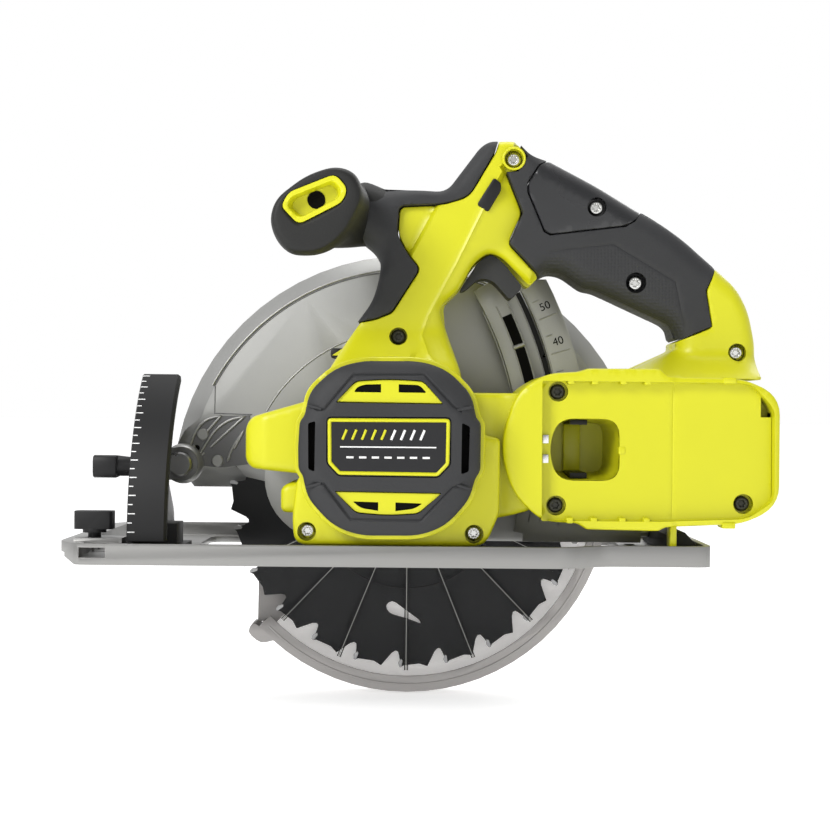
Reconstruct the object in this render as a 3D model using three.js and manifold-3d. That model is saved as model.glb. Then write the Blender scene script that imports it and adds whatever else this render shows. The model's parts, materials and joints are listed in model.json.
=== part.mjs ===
// A cordless circular saw, as a three.js scene graph in millimetres.
// Frame: +Z up, +X towards the rear of the saw, +Y towards the blade side (away from the motor).
// The origin is on the underside of the sole, under the blade's axis, midway across the sole's width.
import * as THREE from "three";
import { mergeVertices } from "three/addons/utils/BufferGeometryUtils.js";
import Module from "manifold-3d";

const wasm = await Module();
wasm.setup();

// ---------------------------------------------------------------- driving dimensions (mm)
const GAP = 0.3; // clearance between pieces that touch
const SOLE_HALF = 73; // half the sole's width
const SOLE_T = 3; // sole plate thickness
const RIM_H = 9.5; // height of the sole's turned-up edges
const SLOT = { front: -104, rear: 108, near: 5, far: 58 }; // blade slot through the sole
const FENCE_X = -141; // centre of the rip-fence bar slots

const BLADE_R = 92; // 184 mm saw blade
const BLADE_Y = 33; // blade's mid plane
const BLADE_TURN = (-1.7 * Math.PI) / 180; // where the first tooth's tip stands at rest
const ARBOR_Z = 30; // blade axis above the sole's underside, for a 62 mm cut
const GUARD_R = 120; // upper guard's outer radius
const GUARD_NEAR = 17.5;
const GUARD_FAR = 48.5;
const WALL = 2.5; // casting wall
const LOWER_R = 103; // lower guard's outer radius

const PINION_TEETH = 12;
const GEAR_TEETH = 37;
const GEAR_MODULE = 1;
const AXLE_DISTANCE = (GEAR_MODULE * (PINION_TEETH + GEAR_TEETH)) / 2;
const MOTOR_X = -7.6;
const MOTOR_Z = ARBOR_Z + Math.sqrt(AXLE_DISTANCE ** 2 - MOTOR_X ** 2);

const PIVOT = { x: -113.5, z: 43 }; // depth pivot, parallel to Y
const BEVEL = { y: BLADE_Y, z: 9 }; // bevel axis, parallel to X
const CLAMP = { y: -33, z: 43 }; // bevel clamp bolt, parallel to X
const ARM_R = { inner: 170, outer: 205 }; // depth arm, about the depth pivot
const DEPTH_BOLT_R = 187;

const HANDLE_Y = -18; // plane where the two housing halves meet
const HANDLE_HALF = 18;
const DECK_Y = -62; // face of the battery socket's frame
const CAP_Y = -84; // outer face of the motor end cap

// ---------------------------------------------------------------- materials
const finish = (color, roughness, metalness) => new THREE.MeshStandardMaterial({ color, roughness, metalness });
const LIME = finish(0xd9dc1f, 0.45, 0);
const RUBBER = finish(0x3c3d3f, 0.8, 0);
const GLOSS = finish(0x2f3032, 0.35, 0);
const BLACK = finish(0x1c1c1d, 0.6, 0);
const CAST = finish(0xa9a9a4, 0.45, 0.8);
const SILVER = finish(0xc9c2bd, 0.35, 0.9);
const STEEL = finish(0x9a9a9c, 0.3, 1);
const BLADE_COAT = finish(0x232426, 0.35, 0.6);
const CLEAR = finish(0xdfe6e8, 0.1, 0);
const COPPER = finish(0xb06a3a, 0.4, 0.9);
const BOARD = finish(0x1f5a34, 0.5, 0);

// ---------------------------------------------------------------- solids
// A closed geometry as a manifold solid, turned right side out if its profile ran the other way.
function solid(geometry) {
  const bare = geometry.clone();
  bare.deleteAttribute("normal");
  bare.deleteAttribute("uv");
  const merged = mergeVertices(bare, 1e-3);
  const triVerts = new Uint32Array(merged.index.array);
  const build = () =>
    new wasm.Manifold(new wasm.Mesh({ numProp: 3, vertProperties: merged.attributes.position.array, triVerts }));
  const made = build();
  if (made.volume() > 0) return made;
  for (let i = 0; i < triVerts.length; i += 3) [triVerts[i + 1], triVerts[i + 2]] = [triVerts[i + 2], triVerts[i + 1]];
  return build();
}
const join = (...pieces) => pieces.reduce((whole, piece) => whole.add(piece));
const cut = (whole, ...tools) => tools.reduce((left, tool) => left.subtract(tool), whole);

// A closed outline through corners [u, v] or [u, v, fillet].
function outline(corners) {
  const shape = new THREE.Shape();
  const at = (i) => new THREE.Vector2(...corners[(i + corners.length) % corners.length].slice(0, 2));
  corners.forEach(([, , fillet = 0], i) => {
    const corner = at(i);
    const into = at(i - 1).sub(corner);
    const away = at(i + 1).sub(corner);
    const reach = Math.min(fillet, into.length() * 0.49, away.length() * 0.49);
    const start = corner.clone().add(into.setLength(reach));
    const end = corner.clone().add(away.setLength(reach));
    if (i === 0) shape.moveTo(start.x, start.y);
    else shape.lineTo(start.x, start.y);
    if (reach > 0) shape.quadraticCurveTo(corner.x, corner.y, end.x, end.y);
  });
  shape.closePath();
  return shape;
}
// The same corners with every edge moved outwards by d.
function grown(corners, d) {
  const turn = corners.reduce((sum, [u, v], i) => {
    const [nu, nv] = corners[(i + 1) % corners.length];
    return sum + u * nv - nu * v;
  }, 0);
  const side = Math.sign(turn) * d;
  const edge = (i) => {
    const [u, v] = corners[(i + corners.length) % corners.length];
    const [nu, nv] = corners[(i + 1 + corners.length) % corners.length];
    return new THREE.Vector2(nu - u, nv - v).normalize();
  };
  return corners.map(([u, v, fillet = 0], i) => {
    const a = edge(i - 1);
    const b = edge(i);
    const mitre = side / Math.max(0.3, 1 + a.dot(b));
    return [u + (a.y + b.y) * mitre, v - (a.x + b.x) * mitre, fillet];
  });
}
const radians = THREE.MathUtils.degToRad;
function ringSector(inner, outer, from, to) {
  const shape = new THREE.Shape();
  shape.absarc(0, 0, outer, radians(from), radians(to));
  shape.absarc(0, 0, inner, radians(to), radians(from), true);
  return shape;
}
const extrude = (shape, depth, segments) =>
  new THREE.ExtrudeGeometry(shape, { depth, bevelEnabled: false, curveSegments: segments });

// An X-Z outline with thickness along Y, from its far face to its near face.
const slab = (shape, far, near, segments = 2) =>
  solid(extrude(shape, far - near, segments).rotateX(Math.PI / 2).translate(0, far, 0));
// A Y-Z outline with thickness along X.
const ALONG_X = new THREE.Matrix4().makeBasis(
  new THREE.Vector3(0, 1, 0), new THREE.Vector3(0, 0, 1), new THREE.Vector3(1, 0, 0));
const plate = (shape, from, to, segments = 2) =>
  solid(extrude(shape, to - from, segments).applyMatrix4(ALONG_X).translate(from, 0, 0));
// An X-Y outline with thickness along Z.
const deck = (shape, from, to, segments = 2) => solid(extrude(shape, to - from, segments).translate(0, 0, from));
const box = (x0, x1, y0, y1, z0, z1) =>
  solid(new THREE.BoxGeometry(x1 - x0, y1 - y0, z1 - z0).translate((x0 + x1) / 2, (y0 + y1) / 2, (z0 + z1) / 2));
// A solid of revolution about Y, from a closed profile of [radius, y].
const turned = (profile, segments = 32) =>
  solid(new THREE.LatheGeometry([...profile, profile[0]].map(([r, y]) => new THREE.Vector2(r, y)), segments));
const rodY = (r, y0, y1, segments = 32) => turned([[0, y0], [r, y0], [r, y1], [0, y1]], segments);
const ringY = (inner, outer, y0, y1, segments = 32) =>
  turned([[inner, y0], [outer, y0], [outer, y1], [inner, y1]], segments);
const rodX = (r, x0, x1, y, z, segments = 20) => rodY(r, x0, x1, segments).rotate([0, 0, -90]).translate([0, y, z]);
const rodZ = (r, z0, z1, x, y, segments = 20) => rodY(r, z0, z1, segments).rotate([90, 0, 0]).translate([x, y, 0]);
const atXZ = (piece, x, z) => piece.translate([x, 0, z]);

function node(name, piece, material) {
  const { numProp, numVert, vertProperties, triVerts } = piece.getMesh();
  const positions = new Float32Array(numVert * 3);
  for (let i = 0; i < numVert; i++) positions.set(vertProperties.subarray(i * numProp, i * numProp + 3), i * 3);
  const geometry = new THREE.BufferGeometry();
  geometry.setAttribute("position", new THREE.BufferAttribute(positions, 3));
  geometry.setIndex(new THREE.BufferAttribute(triVerts, 1));
  geometry.computeVertexNormals();
  const mesh = new THREE.Mesh(geometry, material);
  mesh.name = name;
  return mesh;
}
function group(x, z, ...children) {
  const made = new THREE.Group();
  made.position.set(x, 0, z);
  made.add(...children);
  return made;
}

// ---------------------------------------------------------------- sole
function solePlate() {
  const plan = [
    [-159, -56, 4], [-148, -SOLE_HALF, 4], [72, -SOLE_HALF, 6], [90, -61, 6], [140, -61, 7],
    [140, 64, 7], [130, SOLE_HALF, 4], [-148, SOLE_HALF, 4], [-159, 56, 4]];
  const floor = [
    [-149, -54, 2], [-145, -70, 3], [71, -70, 6], [89, -58, 6], [137, -58, 4],
    [137, 62, 4], [129, 70, 3], [-145, 70, 3], [-149, 54, 2]];
  const nose = plate(outline([[-80, -1], [80, -1], [80, 4.6], [-80, 4.6]]), -160, -156);
  const ramp = slab(outline([[-161, -1], [-147, -1], [-161, 4.8]]), 80, -80);
  const slot = deck(outline([[SLOT.front, SLOT.near, 6], [SLOT.rear, SLOT.near, 6],
    [SLOT.rear, SLOT.far, 6], [SLOT.front, SLOT.far, 6]]), -1, 10);
  const bar = box(FENCE_X - 6, FENCE_X + 6, -80, 80, 3.2, 7.8);
  const bridge = cut(
    join(box(-152, -130, -60, -44, 8.2, 11), box(-152, -148.2, -60, -44, 2, 9), box(-133, -130, -60, -44, 2, 9)),
    rodZ(3.3, 7, 12, -144, -52));
  const ribs = [-38, -24, -10].map((y) => box(-148, -129, y - 1, y + 1, 2.5, 5));
  const shell = cut(deck(outline(plan), 0, RIM_H, 3), deck(outline(floor), SOLE_T, 12, 3), nose, ramp, slot);
  return cut(join(shell, ...ribs, bridge), bar);
}

function bevelQuadrant() {
  const R = 96;
  const top = 86;
  const reach = Math.asin((top - BEVEL.z) / R);
  const rise = (t, r) => [BEVEL.y - r * Math.cos(t), BEVEL.z + r * Math.sin(t)];
  const steps = 10;
  const arc = Array.from({ length: steps + 1 }, (_, i) => rise((reach * i) / steps, R));
  const face = outline([[BEVEL.y - R, SOLE_T + GAP], ...arc, [16, top, 4], [16, 42, 6], [39, 18, 4], [39, SOLE_T + GAP]]);
  const arcSector = (inner, outer, from, to) =>
    plate(ringSector(inner, outer, 180 - to, 180 - from), 0, 1, 7).translate([0, BEVEL.y, BEVEL.z]);
  const boltR = Math.hypot(CLAMP.y - BEVEL.y, CLAMP.z - BEVEL.z);
  const boltAngle = THREE.MathUtils.radToDeg(Math.atan2(CLAMP.z - BEVEL.z, BEVEL.y - CLAMP.y));
  const slot = arcSector(boltR - 2.6, boltR + 2.6, boltAngle - 2.2, boltAngle + 52).scale([10, 1, 1]).translate([-130, 0, 0]);
  const flange = arcSector(R - 3, R, 1, THREE.MathUtils.radToDeg(reach)).scale([12.5, 1, 1]).translate([-127, 0, 0]);
  const foot = box(-127, -104, -62, -18, SOLE_T + GAP, 7);
  const block = box(-124.5, -107, -46, -26, 6, 17);
  const keepout = box(-124.2, -100, -60, 60, 17.5, 90); // room for the front bracket behind the plate
  const web = plate(face, -127, -124.5);
  return cut(join(cut(join(flange, foot, block), cut(keepout, box(-130, -90, -70, -44, 0, 100))), web), slot,
    rodX(2.8, -130, -120, BEVEL.y, BEVEL.z));
}

const wedge = outline([[124.5, SOLE_T + GAP], [136.5, SOLE_T + GAP], [136.5, 8], [130.5, 14.5], [128, 14.5], [124.5, 12]]);
const rearHingeBracket = () => cut(slab(wedge, 52, -42), rodX(2.8, 110, 140, BEVEL.y, BEVEL.z));

function fenceScrew() {
  const lobes = outline([[-9, -5, 3], [9, -5, 3], [9, 5, 3], [-9, 5, 3]]);
  return join(
    rodZ(3, 8.1, 15, -144, -52, 16), rodZ(5.5, 13.2, 15, -144, -52, 16),
    deck(lobes, 14.8, 23, 3).translate([-144, -52, 0]));
}

// ---------------------------------------------------------------- bevel carrier
function frontBracket() {
  const face = outline([[CLAMP.y - 8, CLAMP.z - 8, 6], [8, 22, 6], [26, 4.3, 5], [38, 4.3, 6], [39, 17, 5],
    [16, 36, 4], [16, 52, 4], [CLAMP.y - 8, CLAMP.z + 9, 6]]);
  const ear = atXZ(rodY(8.5, 8, 16.5), PIVOT.x, PIVOT.z);
  const root = box(-122, PIVOT.x, 8, 16.5, PIVOT.z - 8, PIVOT.z + 8);
  return cut(join(plate(face, -124.2, -121.2), ear, root),
    atXZ(rodY(4.3, 0, 20), PIVOT.x, PIVOT.z),
    rodX(2.8, -130, -110, BEVEL.y, BEVEL.z), rodX(2.5, -130, -110, CLAMP.y, CLAMP.z));
}

function depthArm() {
  const about = (piece) => atXZ(piece, PIVOT.x, PIVOT.z);
  const blank = about(slab(ringSector(ARM_R.inner, ARM_R.outer, -11, 31), 13, 8, 7));
  const slot = about(slab(ringSector(DEPTH_BOLT_R - 4.2, DEPTH_BOLT_R + 4.2, -2, 31), 14, 7, 6));
  const relief = about(slab(ringSector(174, 179.5, 4, 28), 14, 11, 5));
  const top = box(0, 100, 0, 20, 137, 160);
  const foot = join(
    box(58, 117, 8, 13, 5.5, 13),
    box(112, 117, 8, 33, 5.5, 12.5), rodX(5.4, 112, 117, BEVEL.y, BEVEL.z));
  return cut(join(cut(blank, box(40, 110, 0, 20, -20, 5.5)), foot), slot, relief, top,
    rodX(2.8, 105, 120, BEVEL.y, BEVEL.z));
}

// The clamp plate carries the stud that runs in the quadrant's slot, and the knob screws on to it.
const bevelClampPlate = () =>
  join(plate(outline([[-50, 12, 2], [-20, 12, 2], [-20, 57, 4], [-42, 57, 8]]), -128.6, -127.3),
    rodX(2.2, -136.9, -119, CLAMP.y, CLAMP.z, 16));
const bevelKnob = () =>
  cut(join(rodX(4.6, -138, -129, CLAMP.y, CLAMP.z, 16),
    plate(outline([[-39, 37.5, 3], [2, 39.5, 4], [2, 46.5, 4], [-39, 48.5, 3]]), -148, -137)),
    rodX(2.5, -137.4, -128, CLAMP.y, CLAMP.z, 16));

// ---------------------------------------------------------------- guards
// The upper guard's near corner is sloped, from the flat near wall out to the rim.
function guardDome(r, near, far, slope) {
  return turned([[0, near], [r - 9, near], [r, near + slope], [r, far], [0, far]], 64);
}
function upperGuard() {
  const about = (piece) => atXZ(piece, 0, ARBOR_Z);
  const dome = cut(about(guardDome(GUARD_R, GUARD_NEAR, GUARD_FAR, 8)),
    about(guardDome(GUARD_R - 3.5, GUARD_NEAR + WALL, GUARD_FAR - WALL, 8)));
  const nearKeep = slab(outline([[-125, 47], [-112, 36], [-107, 40.5], [-94, 39.5], [-87, 42], [-82, 36.5],
    [-62, 32], [-56, 5], [106, 5], [108, 17], [125, 17], [125, 160], [-125, 160]]), GUARD_FAR - WALL - 1, GUARD_NEAR - 1);
  const farKeep = slab(outline([[-125, 47], [-112, ARBOR_Z], [125, ARBOR_Z], [125, 160], [-125, 160]]),
    GUARD_FAR + 1, GUARD_FAR - WALL - 1);
  const arch = about(rodY(64, GUARD_FAR - WALL - 0.5, GUARD_FAR + 1, 40));
  const boss = atXZ(rodY(7, GUARD_NEAR, GUARD_FAR, 24), PIVOT.x, PIVOT.z);
  const horn = cut(slab(outline([[-119, 48], [-119.5, 41], [-110, 36.5], [-107, 40.5], [-94, 39.5], [-90, 60], [-100, 70], [-113, 60]]),
    GUARD_FAR, GUARD_NEAR), about(rodY(GUARD_R - 3.5 - 8, GUARD_NEAR + WALL, GUARD_FAR - WALL, 64)));
  return cut(join(cut(dome.intersect(join(nearKeep, farKeep)), arch), horn, boss),
    atXZ(rodY(4.3, 0, 60), PIVOT.x, PIVOT.z), about(rodY(20.4, GUARD_NEAR - 1, GUARD_NEAR + WALL + 1)),
    atXZ(rodY(3.6, GUARD_NEAR - 1, GUARD_NEAR + WALL + 1, 16), PIVOT.x + DEPTH_BOLT_R, PIVOT.z));
}

// Lower guard pieces are modelled about the blade's axis.
const TIP = { x: -78.5, z: -73 };
function lowerGuard() {
  const from = 223;
  const to = 370;
  const far = new THREE.Shape();
  far.absarc(0, 0, LOWER_R - 1, radians(from), radians(to));
  far.absarc(0, 0, 25, radians(to), radians(205), true);
  far.lineTo(-77, -36);
  far.lineTo(-77.5, -70);
  const wall = slab(far, 42, 40.5, 14);
  const rim = slab(ringSector(LOWER_R - 3, LOWER_R, from, to), 42, 24, 14);
  const lip = slab(ringSector(LOWER_R - 8, LOWER_R, from, to), 25.5, 24, 14);
  const flare = slab(outline([[TIP.x, TIP.z + 5, 2], [TIP.x - 3, TIP.z, 3], [TIP.x + 4, TIP.z - 6, 3],
    [TIP.x + 12, TIP.z - 4], [TIP.x + 6, TIP.z + 1]]), 42, 24);
  return join(wall, rim, lip, flare);
}
function guardWindow() {
  const hub = ringY(20.6, 24.5, 22, 27.6, 32);
  const pane = slab(ringSector(24, 97, 208, 366), 27.6, 25.8, 12);
  const ribs = [-65, -43.5, -22, 0, 22, 44, 65].map((angle) =>
    box(-1.3, 1.3, 24.3, 26, -92, -24).rotate([0, -angle, 0]));
  return join(hub, pane, ...ribs);
}
const guardLever = () =>
  slab(outline([[44, 4, 2], [61, 5, 4], [61, 14, 4], [46, 12, 2]]), 56, 42.3);

// ---------------------------------------------------------------- drive line, modelled about the blade's axis
function gear(teeth, bore, y0, y1) {
  const pitch = (GEAR_MODULE * teeth) / 2;
  const pressure = radians(25);
  const base = pitch * Math.cos(pressure);
  const tip = pitch + 0.85 * GEAR_MODULE;
  const root = pitch - 1.1 * GEAR_MODULE;
  const involute = (r) => Math.tan(Math.acos(Math.min(1, base / r))) - Math.acos(Math.min(1, base / r));
  const halfAtPitch = Math.PI / (2 * teeth) - 0.1 / pitch;
  const half = (r) => halfAtPitch + involute(pitch) - involute(Math.max(r, base));
  const shape = new THREE.Shape();
  const radii = [root, pitch, tip];
  for (let i = 0; i < teeth; i++) {
    const middle = (2 * Math.PI * i) / teeth;
    const flank = radii.map((r) => [r, -half(r)]).concat(radii.slice().reverse().map((r) => [r, half(r)]));
    flank.forEach(([r, a], k) => {
      const x = r * Math.cos(middle + a);
      const y = r * Math.sin(middle + a);
      if (i === 0 && k === 0) shape.moveTo(x, y);
      else shape.lineTo(x, y);
    });
  }
  shape.closePath();
  const blank = slab(shape, y1, y0, 4);
  return bore ? cut(blank, rodY(bore, y0 - 1, y1 + 1, 24)) : blank;
}

function sawBlade() {
  const teeth = 24;
  const pitch = (2 * Math.PI) / teeth;
  const shape = new THREE.Shape();
  const put = (r, a, first) => {
    const x = r * Math.cos(a);
    const y = r * Math.sin(a);
    if (first) shape.moveTo(x, y);
    else shape.lineTo(x, y);
  };
  // One tooth after another: carbide tip, raised shoulder that limits its bite, then the hooked gullet.
  const profile = [[0, 0], [1.2, 0.06], [1.9, 0.4], [0.2, 0.573], [4, 0.68], [7.3, 0.78], [8.6, 0.86], [8.2, 0.92], [6.2, 0.95]];
  for (let i = 0; i < teeth; i++) {
    profile.forEach(([deep, along], k) => put(BLADE_R - deep, (i + along) * pitch + BLADE_TURN, i + k === 0));
  }
  shape.closePath();
  const vents = [0, 1, 2, 3].map((i) =>
    slab(outline([[-7.5, -57, 3], [-11.2, -60, 3], [-9, -64, 3], [0, -66.5, 1], [7.6, -69.3, 0.8], [6.5, -67.2, 0.8],
      [-1.5, -61.5, 3]]), 40, 30, 2).rotate([0, 90 * i, 0]));
  return cut(slab(shape, BLADE_Y + 0.8, BLADE_Y - 0.8), rodY(7.9, 30, 40), ...vents);
}
function spindle() {
  const body = turned([[0, -3.5], [5, -3.5], [5, 12], [6, 12], [6, 27.2], [7.6, 27.2], [7.6, 35.4], [0, 35.4]]);
  return cut(body, rodY(4, 24, 36, 20));
}
const innerFlange = () => ringY(7.9, 17, 28, BLADE_Y - 1.1);
const outerFlange = () => turned([[4.2, 35.8], [7.6, 35.8], [7.6, 34.1], [15.5, 34.1], [15.5, 36.2], [11, 38], [4.2, 38]]);
const bladeBolt = () => join(rodY(3.7, 25, 39, 16), rodY(8.5, 38.3, 39.6, 24), rodY(7, 39.5, 44, 6));

// ---------------------------------------------------------------- motor, modelled about its own axis
const rotorShaft = () => join(rodY(4, -76, 3, 24), gear(PINION_TEETH, 0, 2.5, 10.5).rotate([0, pinionPhase(), 0]));
// Turns the pinion so that one of its gaps faces a tooth of the output gear.
function pinionPhase() {
  const towards = THREE.MathUtils.radToDeg(Math.atan2(ARBOR_Z - MOTOR_Z, -MOTOR_X));
  const gearPitch = 360 / GEAR_TEETH;
  const lead = (((towards + 180) % gearPitch) + gearPitch) % gearPitch;
  const pinionPitch = 360 / PINION_TEETH;
  return -(towards + pinionPitch / 2 + (lead * GEAR_TEETH) / PINION_TEETH);
}
const rotorCore = () => ringY(4.3, 14, -50, -26);
function fan() {
  const hub = turned([[4.3, -19], [9, -19], [27, -13.5], [27, -12], [4.3, -12]]);
  const blades = Array.from({ length: 8 }, (_, i) => box(9, 27, -19, -12.5, -0.8, 0.8).rotate([0, 45 * i, 0]));
  return cut(join(hub, ...blades), rodY(4.3, -30, 0));
}
function stator() {
  const poles = Array.from({ length: 6 }, (_, i) => box(16, 28, -52, -24, -4, 4).rotate([0, 60 * i, 0]));
  return join(ringY(26, 34, -52, -24, 40), ...poles).intersect(ringY(15, 34, -60, -20, 40));
}
const bearing = (bore, outer, y0, y1) => ringY(bore, outer, y0, y1, 24);

// ---------------------------------------------------------------- gear case and housings
const motorCircle = (r, y0, y1, segments = 40) => atXZ(rodY(r, y0, y1, segments), MOTOR_X, MOTOR_Z);
// The spindle lock slides towards the spindle's axis, in line with a gap between two of the output gear's teeth.
const LOCK_ANGLE = (5.5 * 360) / GEAR_TEETH;
const radial = (piece) => piece.rotate([90, 0, 0]).rotate([0, 90 - LOCK_ANGLE, 0]).translate([0, 6.5, 0]);
const lockButton = () => radial(join(rodY(0.6, 20.9, 24, 8), rodY(2.5, 22, 45.5, 12), rodY(5, 44.5, 47.5, 16)));
function gearCase() {
  const arbor = (piece) => atXZ(piece, 0, ARBOR_Z);
  const far = GUARD_NEAR - GAP;
  const body = join(motorCircle(33, -5.7, far), arbor(rodY(24.5, -5.7, far)), atXZ(rodY(31, 3, far, 40), -40, 37),
    arbor(rodY(20, 10, 27)), slab(outline([[-30, 6, 3], [10, 6, 3], [20, 40], [-38, 40]]), far, -5.7));
  return cut(body,
    arbor(rodY(21, 1.5, 11.8)), motorCircle(8.4, 1.5, 11.8, 24), motorCircle(4.5, -7, 5, 24), motorCircle(9.3, -7, -0.5, 24),
    arbor(rodY(8.3, -4.2, 3, 24)), arbor(rodY(6.6, 5, 30, 24)), arbor(rodY(12.2, 19.5, 30, 32)),
    arbor(radial(rodY(2.9, 19, 60, 12))), arbor(radial(rodY(6, 42.4, 60, 16))));
}

const TRUNK = [
  [-29.6, 101.9, 3], [-22.6, 112.1, 1], [-15.6, 113.4, 2], [-7.6, 116.6, 2], [5.6, 137.6, 3], [0.1, 144.3, 3],
  [-5.3, 154.1, 4], [-4.5, 166, 3], [16, 166.9, 4], [28.4, 170.5, 5], [40.7, 193.3, 2], [42.3, 198.6, 1],
  [51.4, 198.6, 2], [55.5, 191.5, 5], [51, 184.5, 4], [45.6, 184, 1], [53.4, 164.8, 3], [47, 150.1, 3],
  [61.8, 134.6, 2], [57.6, 130.6, 2], [44.3, 144.1, 4], [38, 146.4, 4], [31, 141.4, 5], [23.9, 128.3, 3],
  [16.6, 121.8, 3]];
const REAR_YELLOW = [
  [145.7, 139.3, 1], [155.9, 129.9, 5], [161.6, 119, 6], [164.9, 102.6, 5], [163, 88, 1], [100, 88, 1],
  [108.5, 92, 3], [127.7, 101, 3], [127.2, 104.1, 1], [143.8, 111, 2], [140.9, 128.2, 2]];
const SOCKET = [
  [42, 54, 16], [50, 80, 14], [64, 88, 5], [79, 89, 2], [82, 90.4, 1], [115, 90.6, 1], [119, 87, 2], [155, 86.3, 8],
  [170, 78, 10], [170, 29, 9], [155, 20, 8], [118, 18.3, 2], [115, 16.5, 1], [82, 17, 1], [78, 19.7, 2], [62, 20.5, 6],
  [49, 32, 14]];
const DECK = [
  [61.4, 84.6, 1], [61.6, 20.8, 1], [116.9, 20.8, 1], [155, 22.2, 4], [167.6, 30.5, 4], [167.4, 72.5, 4], [152.8, 84, 6]];
const WELL = [
  [64.8, 53, 9], [69, 67.5, 9], [97.5, 67.5, 8], [97.8, 39, 8], [69, 39, 9]];
const SCREW_SPOTS = {
  base_screw_front: [-45.3, 15.2, -62], base_screw_rear: [30.8, 14.6, -62],
  trunk_top_screw: [49.2, 190, -36.2], cap_screw: [88.6, 167.5, -36.2], grip_screw: [107.4, 131.9, -36.2],
  rear_handle_screw: [155.4, 99.3, -36.2], trunk_screw: [-4.7, 105.5, -36.2],
  deck_screw_upper: [69.2, 79.8, -56], deck_screw_lower: [68.6, 27.5, -56], deck_screw_rear: [154.6, 28.9, -56]};
const screwSeats = () => Object.values(SCREW_SPOTS).map(([x, z, y]) => atXZ(rodY(4.3, y - 5, y + 5.5, 12), x, z));
const screw = () => cut(rodY(3.6, 1, 5.2, 12), rodY(1.9, 0, 3, 6));

// Hollows in the housing halves: one for the switch, one for the wiring in the trunk.
function trunkPockets(y0, y1) {
  const wiring = [[-22, 101], [-15, 108], [-3, 112], [11, 137], [20, 137], [20, 131], [13, 122], [12, 101]];
  return [slab(outline(SWITCH), y1, y0), slab(outline(wiring), y1, y0)];
}
const SWITCH = [[5, 145], [28, 145], [28, 163.5], [5, 163.5]];
function leftHousing() {
  const face = HANDLE_Y - HANDLE_HALF;
  const barrel = motorCircle(42, -68, -6.2, 48);
  const base = slab(outline([[-52, 8.5, 5], [36, 8.5, 5], [42.5, 24, 2], [42.5, 60, 2], [-52, 60, 5]]), -6.2, -64);
  const baseTrim = slab(outline([[-70, 32], [-38, 32], [-30, 70], [-70, 70]]), 0, -80);
  const frontBoss = slab(outline([[-75, 47, 4], [-71.9, 43.2, 4], [-40, 41], [-36, 77], [-72.1, 67, 5], [-75, 62.5, 4]]), -12, -56);
  const lowBoss = slab(outline([[-58, 23.2, 2], [-40, 22.5], [-40, 38], [-55.4, 36.4, 3], [-58, 34, 2]]), -12, -56);
  const bridge = slab(outline([[20, 24], [58, 24], [58, 79.5], [20, 79.5]]), -6.2, -54);
  const socket = slab(outline(SOCKET), 2, DECK_Y, 3);
  const trunk = slab(outline([[-37.5, 89], ...TRUNK, [20, 100], [26, 80], [0, 70], [-30, 75]]), HANDLE_Y, face);
  const rear = slab(outline(REAR_YELLOW), HANDLE_Y, face);
  const body = cut(join(barrel, cut(base, baseTrim), frontBoss, lowBoss, bridge, socket, trunk, rear),
    motorCircle(37, -70, 0, 48),
    slab(outline(DECK), -56, DECK_Y - 1), slab(outline(WELL), -8, -60, 3),
    slab(outline([[162.3, 80], [162.3, 68.8], [168, 68.8], [168, 76]]), -40, -60),
    slab(outline([[104, 26, 3], [160, 26, 3], [160, 80, 3], [104, 80, 3]]), 3, -46),
    ...trunkPockets(-29, -17), lockOffWell());
  const clips = [73, 84, 97, 108].flatMap((x) => [box(x, x + 3, -62, -55, 20, 22.6), box(x, x + 3, -62, -55, 83, 85.5)]);
  const rib = box(121.2, 124.2, -56, -46, 15.2, 20);
  return cut(join(body, ...clips, rib), ...screwSeats());
}
function rightHousing() {
  const far = HANDLE_Y + HANDLE_HALF;
  const near = HANDLE_Y + GAP;
  const trunk = slab(outline([[-37, 97], ...TRUNK, [19, 97]]), far, near);
  const saddle = slab(outline([[-30, 97], [-24, 86.8], [10, 86.8], [18, 97], [14, 100], [-26, 100]]), GUARD_NEAR - GAP, -5.9);
  const rear = cut(slab(outline([...REAR_YELLOW.slice(0, 4), [163, 91.5, 1], [107, 91.5, 1], ...REAR_YELLOW.slice(7)]), far, near));
  const lid = slab(outline([[100, 22, 4], [164, 22, 4], [164, 84, 4], [100, 84, 4]]), 5, 2 + GAP);
  const strap = join(box(148, 162, 2 + GAP, 5, 80, 97), box(148, 162, -3, 5, 91.5, 97));
  return { shell: cut(join(trunk, saddle), ...trunkPockets(-19, -7), lockOffWell()), rear: join(rear, lid, strap) };
}

// ---------------------------------------------------------------- grips, caps and controls
function frontGrip() {
  const band = slab(outline([[-45, 151, 3], [-25, 149, 5], [-15, 145.5, 6], [-12.6, 138, 6], [-13.8, 131], [-17, 121.6], [-23.4, 112.6],
    [-15.7, 113.8], [-8, 117.1], [5.1, 137.7], [-0.4, 144.2], [-5.8, 154], [-4.9, 166.5], [15.9, 167.3], [28.1, 171],
    [40.3, 193.4], [41.9, 199, 1], [36, 198.3, 3], [32.2, 195.2, 3], [15, 170.5, 6], [-8, 170, 8], [-45, 170]]),
    HANDLE_Y + HANDLE_HALF, HANDLE_Y - HANDLE_HALF);
  const bar = slab(outline([[-62.5, 154, 7], [-59, 145, 5], [-53, 139.3, 5], [-39, 139.3, 8], [-28, 148, 8], [-19, 166, 9],
    [-24, 177, 6], [-33, 179.3, 6], [-46, 175, 7], [-60, 164, 7]]), -14, CAP_Y + 1);
  const pocket = slab(outline([[-57, 160, 2], [-53.8, 167, 3], [-32.5, 175.4, 3], [-26.4, 168.5, 3], [-29, 162, 3], [-49, 151.6, 3]]),
    -74, CAP_Y - 5);
  const clear = slab(outline(grown(TRUNK, GAP)), 5, -40);
  return cut(join(cut(band, clear), bar), pocket);
}
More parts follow.
